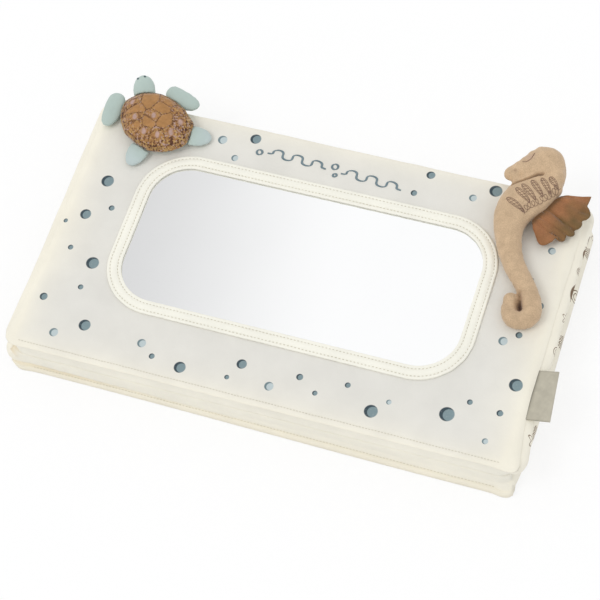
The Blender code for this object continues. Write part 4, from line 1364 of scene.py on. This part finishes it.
def make_turtle():
    """Shell, belly, head and flippers, with the shell's stitched plates and overlocked rim."""
    shell = stuffed("turtle_back", ["turtle_shell"], 0.0010, "velour", "front_panel", "shell_velour", 0.0005)
    reshape(shell, shell_shape)
    reshape(shell, shell_corner)
    tint(shell, shell_paint)
    set_attribute(shell, "stipple", [shell_stipple(v.co, v.normal) for v in shell.data.vertices], "FLOAT")
    tree = surface(shell)
    stitches = running([lay(tree, line) for line in shell_lines()], *plate_stitch)
    sew("turtle_plate_lines", stitches, "brown_thread", plate_thread, "front_panel", "shell_velour", sink=0.3)
    edging = []
    for step in range(150):
        lean = 0.05 * wobble(step * 0.37, 0.0, 55.0)
        turns = [(share, tau * step / 150 + lean * share) for share in (1.06, 1.02, 0.97, 0.92)]
        edging.append(lay(tree, [rim_place((cos(turn), sin(turn)), share) for share, turn in turns]))
    sew("turtle_rim_stitches", single(edging), "ochre_thread", overlock_thread, "front_panel", "shell_velour",
        sink=0.2)
    belly = stuffed("turtle_underside", ["turtle_belly"], 0.0014, "jersey", "front_panel", "sage_cotton",
                    0.0002)
    tint(belly, lambda place, normal: sage)
    head = stuffed("turtle_head_pad", ["turtle_head"], 0.0010, "flipper", "turtle_head", "sage_cotton", 0.0004)
    reshape(head, seam_and_puckers(0.0002))
    tint(head, limb_paint(sage, shade(sage, 1.05), 0.6))
    tree = surface(head)
    eyes = []
    for x, y, turn in ((-0.1749, 0.1276, 2.4), (-0.1702, 0.1307, 2.2)):
        for step in range(-2, 3):
            reach = 0.0009 * sqrt(1 - (step / 3) ** 2)
            way = (-sin(turn) * reach, cos(turn) * reach)
            here = (x + cos(turn) * step * 0.0004, y + sin(turn) * step * 0.0004)
            eyes.append(lay(tree, ((here[0] - way[0], here[1] - way[1]), (here[0] + way[0], here[1] + way[1]))))
    sew("turtle_eyes", single(eyes), "eye_thread", eye_thread, "turtle_head", "sage_cotton", sink=0.15)
    for side in ("front_left", "front_right", "rear_left", "rear_right"):
        made = stuffed("flipper_" + side + "_pad", ["turtle_flipper_" + side], 0.0009, "flipper",
                       "flipper_" + side, "flipper_cotton", 0.0003)
        reshape(made, seam_and_puckers(0.0003, fine=0.0004))
        tint(made, limb_paint(sage, sage if side.startswith("front") else pale_blue, 0.9))


# Seahorse, in millimetres: ends of the stitched ribs, the scribbled line along the back, and the creases
rib_table = (
    ((137.5, 89.7), (152.6, 82.0)), ((141.9, 99.4), (154.9, 90.2)), ((145.4, 103.6), (158.6, 93.6)),
    ((151.4, 108.4), (162.8, 98.2)), ((158.0, 112.3), (167.6, 103.0)), ((163.6, 115.1), (171.6, 108.2)),
)
scribble_line = ((151.4, 80.8), (153.5, 85.6), (156.4, 88.9), (159.8, 92.6), (163.4, 97.0), (166.8, 101.7),
                 (169.8, 106.1), (171.2, 110.0))
lash_line = ((140.7, 122.6), (143.5, 122.6), (146.0, 124.8), (147.2, 127.8), (147.7, 131.0))
jaw_crease = ((137.4, 104.6), (141.3, 106.4), (145.3, 108.6), (149.8, 111.8), (154.2, 115.2), (157.8, 116.4))
curl_crease = ((166.2, 20.2), (167.6, 17.2), (168.8, 13.6), (169.6, 9.6))
curl_middle = (0.170, 0.008)

# Stuffing between the seahorse's solids: middles and half sizes in millimetres
seahorse_lumps = (
    ((135.3, 115.2, 58.9), (5.2, 5.2, 5.6)), ((137.9, 112.0, 58.6), (4.8, 4.8, 5.4)),
    ((138.6, 121.4, 59.0), (5.6, 5.6, 7.0)), ((142.2, 126.2, 59.0), (5.6, 5.6, 7.5)),
    ((146.9, 131.7, 59.0), (6.4, 6.4, 8.5)), ((151.6, 136.2, 59.0), (6.8, 6.8, 9.0)),
    ((157.5, 136.3, 59.0), (7.2, 7.2, 9.0)), ((167.6, 119.5, 57.8), (7.6, 9.0, 9.2)),
    ((165.5, 129.0, 58.5), (7.4, 8.0, 9.6)), ((168.4, 111.0, 56.9), (7.0, 7.6, 8.8)),
    ((160.6, 13.8, 52.4), (6.0, 6.2, 6.0)), ((169.6, 9.4, 48.6), (5.0, 8.0, 2.6)),
    ((152.0, 53.0, 55.0), (6.6, 8.0, 8.0)),
)


def seahorse_paint(place, normal):
    """Tan, a little darker low down and towards the tail, with a mauve shade on the eyelid, a darker nostril,
    and painted shade along the jaw's and curl's creases and in the curl's hole.
    """
    x, y, z = place
    cloud = 0.22 * wobble(x / 0.01, y / 0.01, 29.0)
    tail = 0.35 * soft_step((0.06 - y) / 0.06)
    ribbing = 0.22 * wobble((y + 0.25 * x) / 0.0013, x / 0.018, 141.0) * soft_step((0.105 - y) / 0.03)
    bright = shade(tan, 1 + 0.04 * soft_step((y - 0.1) / 0.02))
    colour = between(bright, shade(tan, 0.84), 0.3 * (0.052 - z) / 0.01 + cloud + tail + ribbing)
    if normal.z > 0.3:
        lid = bell(x - 0.1448, 0.0036) * bell(y - 0.1272, 0.0030)
        nostril = bell(hypot(x - 0.1369, y - 0.1148), 0.0011)
        colour = between(between(colour, mauve, 0.4 * lid), rib_brown, 0.5 * nostril)
    # Painted shade along the jaw's and the curl's creases
    if z > 0.053:
        fold = max(crease_depth(x, y, jaw_crease, 0.0007), crease_depth(x, y, curl_crease, 0.0008))
        return between(colour, shade(rib_brown, 0.75), 0.6 * fold)
    # Painted shade in the hole inside the tail's curl
    hole = bell(x - 0.1690, 0.0050) * bell(y - 0.0105, 0.0065)
    return between(colour, shade(rib_brown, 0.8), hole * soft_step((0.0535 - z) / 0.003))


def crease_depth(x, y, line, width):
    """How near a place lies to a line in the plane, given in millimetres: 1 on it."""
    best = 1.0
    for (ax, ay), (bx, by) in zip(line, line[1:]):
        ax, ay, bx, by = ax / 1000, ay / 1000, bx / 1000, by / 1000
        span = (bx - ax) ** 2 + (by - ay) ** 2
        share = clamp(((x - ax) * (bx - ax) + (y - ay) * (by - ay)) / span)
        best = min(best, hypot(x - ax - share * (bx - ax), y - ay - share * (by - ay)))
    return bell(best, width)


def seahorse_shape(place, normal):
    """The jaw's and curl's creases, and wrinkles across the body and tail."""
    x, y, _ = place
    run, out = y + 0.25 * x, x
    if y < 0.02:
        dx, dy = x - curl_middle[0], y - curl_middle[1]
        run, out = atan2(dy, dx) * 0.009, hypot(dx, dy)
    wrinkle = 0.00034 * wobble(run / 0.0024, out / 0.016, 107.0) * soft_step((0.105 - y) / 0.03)
    moved = normal * (seam_and_puckers(0.0003)(place, normal) + wrinkle)
    if normal.z > -0.1:
        moved.z -= 0.0045 * crease_depth(x, y, jaw_crease, 0.0009)
        moved.z -= 0.0036 * crease_depth(x, y, curl_crease, 0.0010)
        moved.z -= 0.0007 * bell(hypot(x - 0.1369, y - 0.1148), 0.0010)
    return moved


def rib_lines(tree):
    """Leaf-shaped loops across the body, each filled with a few long threads and short hatching."""
    lines = []
    for (ax, ay), (bx, by) in rib_table:
        ax, ay, bx, by = (value / 1000 for value in (ax, ay, bx, by))
        length = hypot(bx - ax, by - ay)
        way = ((bx - ax) / length, (by - ay) / length)
        side = (-way[1], way[0])

        def at(run, out):
            return ax + way[0] * length * run + side[0] * out, ay + way[1] * length * run + side[1] * out

        for reach in (0.0021, 0.0010):
            loop_line = []
            for step in range(49):
                angle = tau * step / 48
                run = 0.5 + 0.5 * cos(angle)
                loop_line.append(at(run, reach * sin(angle) * (1.25 - 0.5 * run)))
            lines.append(lay(tree, loop_line))
        for step in range(1, 6):
            run = step / 6 + 0.03 * wobble(step * 1.7, ax * 900, 137.0)
            half = 0.0019 * sin(pi * run) ** 0.5 * (1.25 - 0.5 * run)
            lines.append(lay(tree, straight(at(run - 0.05, -half), at(run + 0.05, half), 4)))
    return [line for line in lines if len(line) > 1]


def scribble(tree):
    """A chain of small uneven loops along the back."""
    line = smooth_line(scribble_line, 30) / 1000
    places = []
    for step, (x, y) in enumerate(line):
        turn = tau * step / 21
        reach = 0.0019 + 0.0007 * wobble(step / 9, 0.0, 111.0)
        places.append((x + reach * cos(turn), y + reach * sin(turn)))
    return lay(tree, places)


def make_seahorse():
    """Head, body and curled tail in one stuffed piece, its stitched face and ribs, and the fin."""
    made = stuffed("seahorse_plush", ["seahorse_body", "seahorse_head", "seahorse_tail"], 0.00095, "jersey",
                   "front_panel", "tan_cotton", 0.0005, soften=9, lumps=seahorse_lumps, grow=0.0006)
    reshape(made, seahorse_shape)
    tint(made, seahorse_paint)
    tree = surface(made)
    stitches = running([*rib_lines(tree), scribble(tree)], *rib_stitch)
    sew("seahorse_ribs", stitches, "rib_thread", rib_thread, "front_panel", "tan_cotton", sink=0.2)
    stitches = running([lay(tree, smooth_line(lash_line, 8) / 1000)], *lash_stitch)
    sew("seahorse_features", stitches, "rib_thread", lash_thread, "front_panel", "tan_cotton", sink=0.2)
    make_fin()


# The fin, in millimetres: its root along the back, and its scalloped edge from the top to the low lobe
fin_root = ((174.4, 107.2), (169.0, 100.0), (163.6, 91.4), (159.6, 83.0), (159.4, 79.0))
fin_edge = (
    (195.8, 114.0), (195.2, 108.6), (195.0, 105.2), (197.6, 102.4), (199.0, 98.6), (197.6, 94.8), (194.4, 92.4),
    (195.2, 88.2), (193.6, 84.6), (191.0, 83.4), (191.8, 79.6), (189.6, 77.2), (186.4, 78.0), (185.8, 74.2),
    (182.8, 72.4), (179.8, 73.6), (176.8, 69.0), (172.8, 65.6), (169.2, 65.4), (166.0, 68.6),
)
fin_root_level = 0.0572
fin_drop = 0.0050


def make_fin():
    """The fan fin: two layers of cloth over a little stuffing, in soft folds, with a scalloped edge."""
    rows, columns = 26, 110
    root = smooth_line(fin_root, 24) / 1000
    edge = smooth_line(fin_edge, 8) / 1000
    grid = np.empty((rows + 1, columns + 1, 3))
    thick = np.empty((rows + 1, columns + 1, 1))
    for row in range(rows + 1):
        out = row / rows
        for column in range(columns + 1):
            share = column / columns
            start = root[round(share * (len(root) - 1))]
            end = edge[round(share * (len(edge) - 1))]
            x, y = start + (end - start) * out
            valley = bell(share - 0.42 - 0.06 * out, 0.055) * sin(pi * min(1.0, out * 1.25))
            second = bell(share - 0.70, 0.045) * soft_step((out - 0.35) / 0.4)
            third = bell(share - 0.20, 0.040) * soft_step((out - 0.45) / 0.4)
            fine = sin(tau * 6.5 * share + 2 * wobble(out * 2, share * 3, 139.0))
            fine *= soft_step(out / 0.3)
            fold = -0.0028 * valley - 0.0016 * second - 0.0013 * third - 0.0003 * fine
            edge_wave = 0.0006 * cos(tau * 5 * share) * soft_step((out - 0.7) / 0.3)
            ripple = 0.0006 * wobble(x / 0.006, y / 0.006, 121.0)
            level = fin_root_level - 0.0022 + 0.0014 * soft_step(out / 0.25) - fin_drop * out ** 1.2
            level += fold + edge_wave + ripple
            grid[row, column] = (x, y, level)
            rim = min(1.0, share / 0.10, (1 - share) / 0.10)
            rim *= min(1.0, (1 - out) / 0.22 + 0.12) * min(1.0, 0.15 + out / 0.25)
            plump = sqrt(max(0.0, rim)) * (0.6 + 0.4 * sin(pi * min(1.0, out * 1.2 + 0.15)))
            slack = 1 - 0.45 * max(valley, second, third)
            uneven = 1 + 0.2 * wobble(x / 0.005, y / 0.005, 123.0)
            thick[row, column] = 0.0007 + 0.0034 * plump * slack * uneven
    made = thick_sheet("seahorse_fan", grid, thick, "fin", grid[:, :, :2])
    colours = []
    for here, vertex in enumerate(made.data.vertices):
        row, column = divmod(here % ((rows + 1) * (columns + 1)), columns + 1)
        out, share = row / rows, column / columns
        cloud = 0.35 * cloudy(vertex.co, 0.006, 21.0)
        dull = soft_step((out - 0.25) / 0.5) * soft_step((0.92 - share) / 0.35)
        dull *= soft_step((share - 0.02) / 0.2)
        # Painted shade along the valley of the main fold
        crease = 0.5 * bell(share - 0.42 - 0.06 * out, 0.05) * sin(pi * min(1.0, out * 1.1))
        rim = 0.35 * exp(-(1 - out) / 0.05)
        base = between(fin_red, fin_olive, 0.75 * dull + cloud + crease + rim)
        # Painted shadow of the body along the fin's root
        colours.append((*between(base, shade(fin_olive, 0.55), 0.75 * bell(out - 0.08, 0.09)), 1.0))
    set_attribute(made, "tint", colours, "FLOAT_COLOR")
    carry(made, "seahorse_fin", "fin_cotton", "seahorse_fin")


def make_tag():
    """The bare folded tag, sewn into the side seam."""
    inner, outer = tag_layers
    reach = tag_end - tag_root
    steps = 24
    path = [(tag_root + reach * s / steps, inner + 0.0004 * (1 - s / steps) ** 2) for s in range(steps)]
    for step in range(9):
        angle = pi * (step / 8 - 0.5)
        path.append((tag_end - 0.0006 + tag_round * cos(angle),
                     (inner + outer) / 2 + tag_round * sin(angle)))
    path += [(tag_end - reach * s / steps, outer + 0.0003 * sin(pi * s / steps))
             for s in range(1, steps + 1)]
    grid = []
    for x, z in path:
        share = (x - tag_root) / reach
        row = []
        for step in range(33):
            run = step / 32
            wide = 1 - 0.20 * (1 - run) * share
            y = -0.0310 - 0.0400 * run + 0.0030 * share
            wave = 0.0003 * wobble(y / 0.012, x / 0.01, 127.0) * share
            row.append((tag_root + (x - tag_root) * wide, y, z + wave))
        grid.append(row)
    grid = np.array(grid)
    # Painted shade along the tape's root, where it comes out of the seam
    tone_and_shade = [bell(point[0] - tag_root - 0.0013, 0.0011) for point in grid.reshape(-1, 3)]
    made = thick_sheet("side_tape", grid, 0.00045, "tape", grid[:, :, :2], tone_and_shade=tone_and_shade)
    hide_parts("side_tag")
    return made


def dress_rigid_nodes():
    """The parts whose solids are right get their finishes."""
    for node, finish in (("mirror_sheet", "mirror"), ("mirror_backing", "backing"), ("front_board", "board"),
                         ("rear_board", "board"), ("turtle_squeaker", "plastic")):
        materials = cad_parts[node].data.materials
        for place in range(len(materials)):
            materials[place] = finishes[finish]


def make_camera():
    """The photograph's point of view."""
    camera = bpy.data.cameras.new("camera")
    camera.lens = 126.0
    camera.sensor_width = 36.0
    made = bpy.data.objects.new("camera", camera)
    bpy.context.scene.collection.objects.link(made)
    right = Vector((0.9446911, 0.3099839, -0.1070921))
    up = Vector((-0.2284461, 0.8562563, 0.4632899))
    back = Vector((0.2353107, -0.4132011, 0.8797123))
    turned = Matrix((right, up, back)).transposed().to_4x4()
    made.matrix_world = Matrix.Translation((0.37736, -0.66947, 1.42293)) @ turned
    bpy.context.scene.camera = made


def make_stage():
    """A white floor that keeps soft shadows, a soft sun and a white surround."""
    graph = Graph("floor", 1.0)
    seen = graph.seen()
    matt = graph.add("ShaderNodeBsdfDiffuse", {"Color": graph.mix(seen, (0.88,) * 3, (1.0,) * 3)})
    lit = graph.add("ShaderNodeEmission", {"Strength": 1.0})
    mixed = graph.add("ShaderNodeMixShader", {0: graph.times(seen, floor_white), 1: matt, 2: lit})
    output = next(node for node in graph.nodes if node.type == "OUTPUT_MATERIAL")
    graph.put(output.inputs["Surface"], mixed)
    reach = 4.0
    corners = [(x, y, -0.0001) for x, y in ((-reach, -reach), (reach, -reach), (reach, reach), (-reach, reach))]
    mesh = bpy.data.meshes.new("floor")
    mesh.from_pydata(corners, [], [(0, 1, 2, 3)])
    mesh.materials.append(graph.material)
    floor = bpy.data.objects.new("floor", mesh)
    bpy.context.scene.collection.objects.link(floor)

    sun = bpy.data.lights.new("sun", "SUN")
    sun.energy = sun_energy
    sun.angle = radians(24)
    sun.color = (1.0, 0.985, 0.955)
    made = bpy.data.objects.new("sun", sun)
    made.rotation_euler = Vector(sun_from).to_track_quat("Z", "Y").to_euler()
    bpy.context.scene.collection.objects.link(made)

    world = bpy.data.worlds.new("surround")
    world.use_nodes = True
    sky = Nodes(world.node_tree)
    sky.nodes.clear()
    across, _, up = sky.axes(sky.add("ShaderNodeTexCoord", {}, "Generated"))
    dim = sky.share(across, mirrored_dim[0], mirrored_dim[1], interpolation_type="SMOOTHSTEP")
    sky.put(dim.node.inputs[3], mirrored_dim[2])
    strength = sky.add("ShaderNodeMix", {0: sky.share(up, 0.55, 0.75), 2: 1.0, 3: dim})
    seen_light = sky.add("ShaderNodeBackground", {"Color": (1.0, 1.0, 1.0), "Strength": strength})
    soft_light = sky.add("ShaderNodeBackground", {"Color": (0.985, 0.99, 1.0), "Strength": surround_strength})
    mixed = sky.add("ShaderNodeMixShader", {0: sky.seen(), 1: soft_light, 2: seen_light})
    sky.put(sky.nodes.new("ShaderNodeOutputWorld").inputs["Surface"], mixed)
    bpy.context.scene.world = world
    bpy.context.scene.view_settings.view_transform = "Standard"


make_camera()
make_stage()
dress_rigid_nodes()
make_pads()
make_band("band_upper", "front_band", "front_panel", False, 11)
make_band("band_lower", "rear_band", "rear_panel", True, 17)
make_flat_cloths()
face_tree = surface(make_face())
trim = make_trim()
web = make_web()
spine = make_spine()
make_topstitch(face_tree, trim, web)
make_wave_embroidery(face_tree)
make_turtle()
make_seahorse()
tag = make_tag()
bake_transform(tag)
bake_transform(web)
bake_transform(spine)
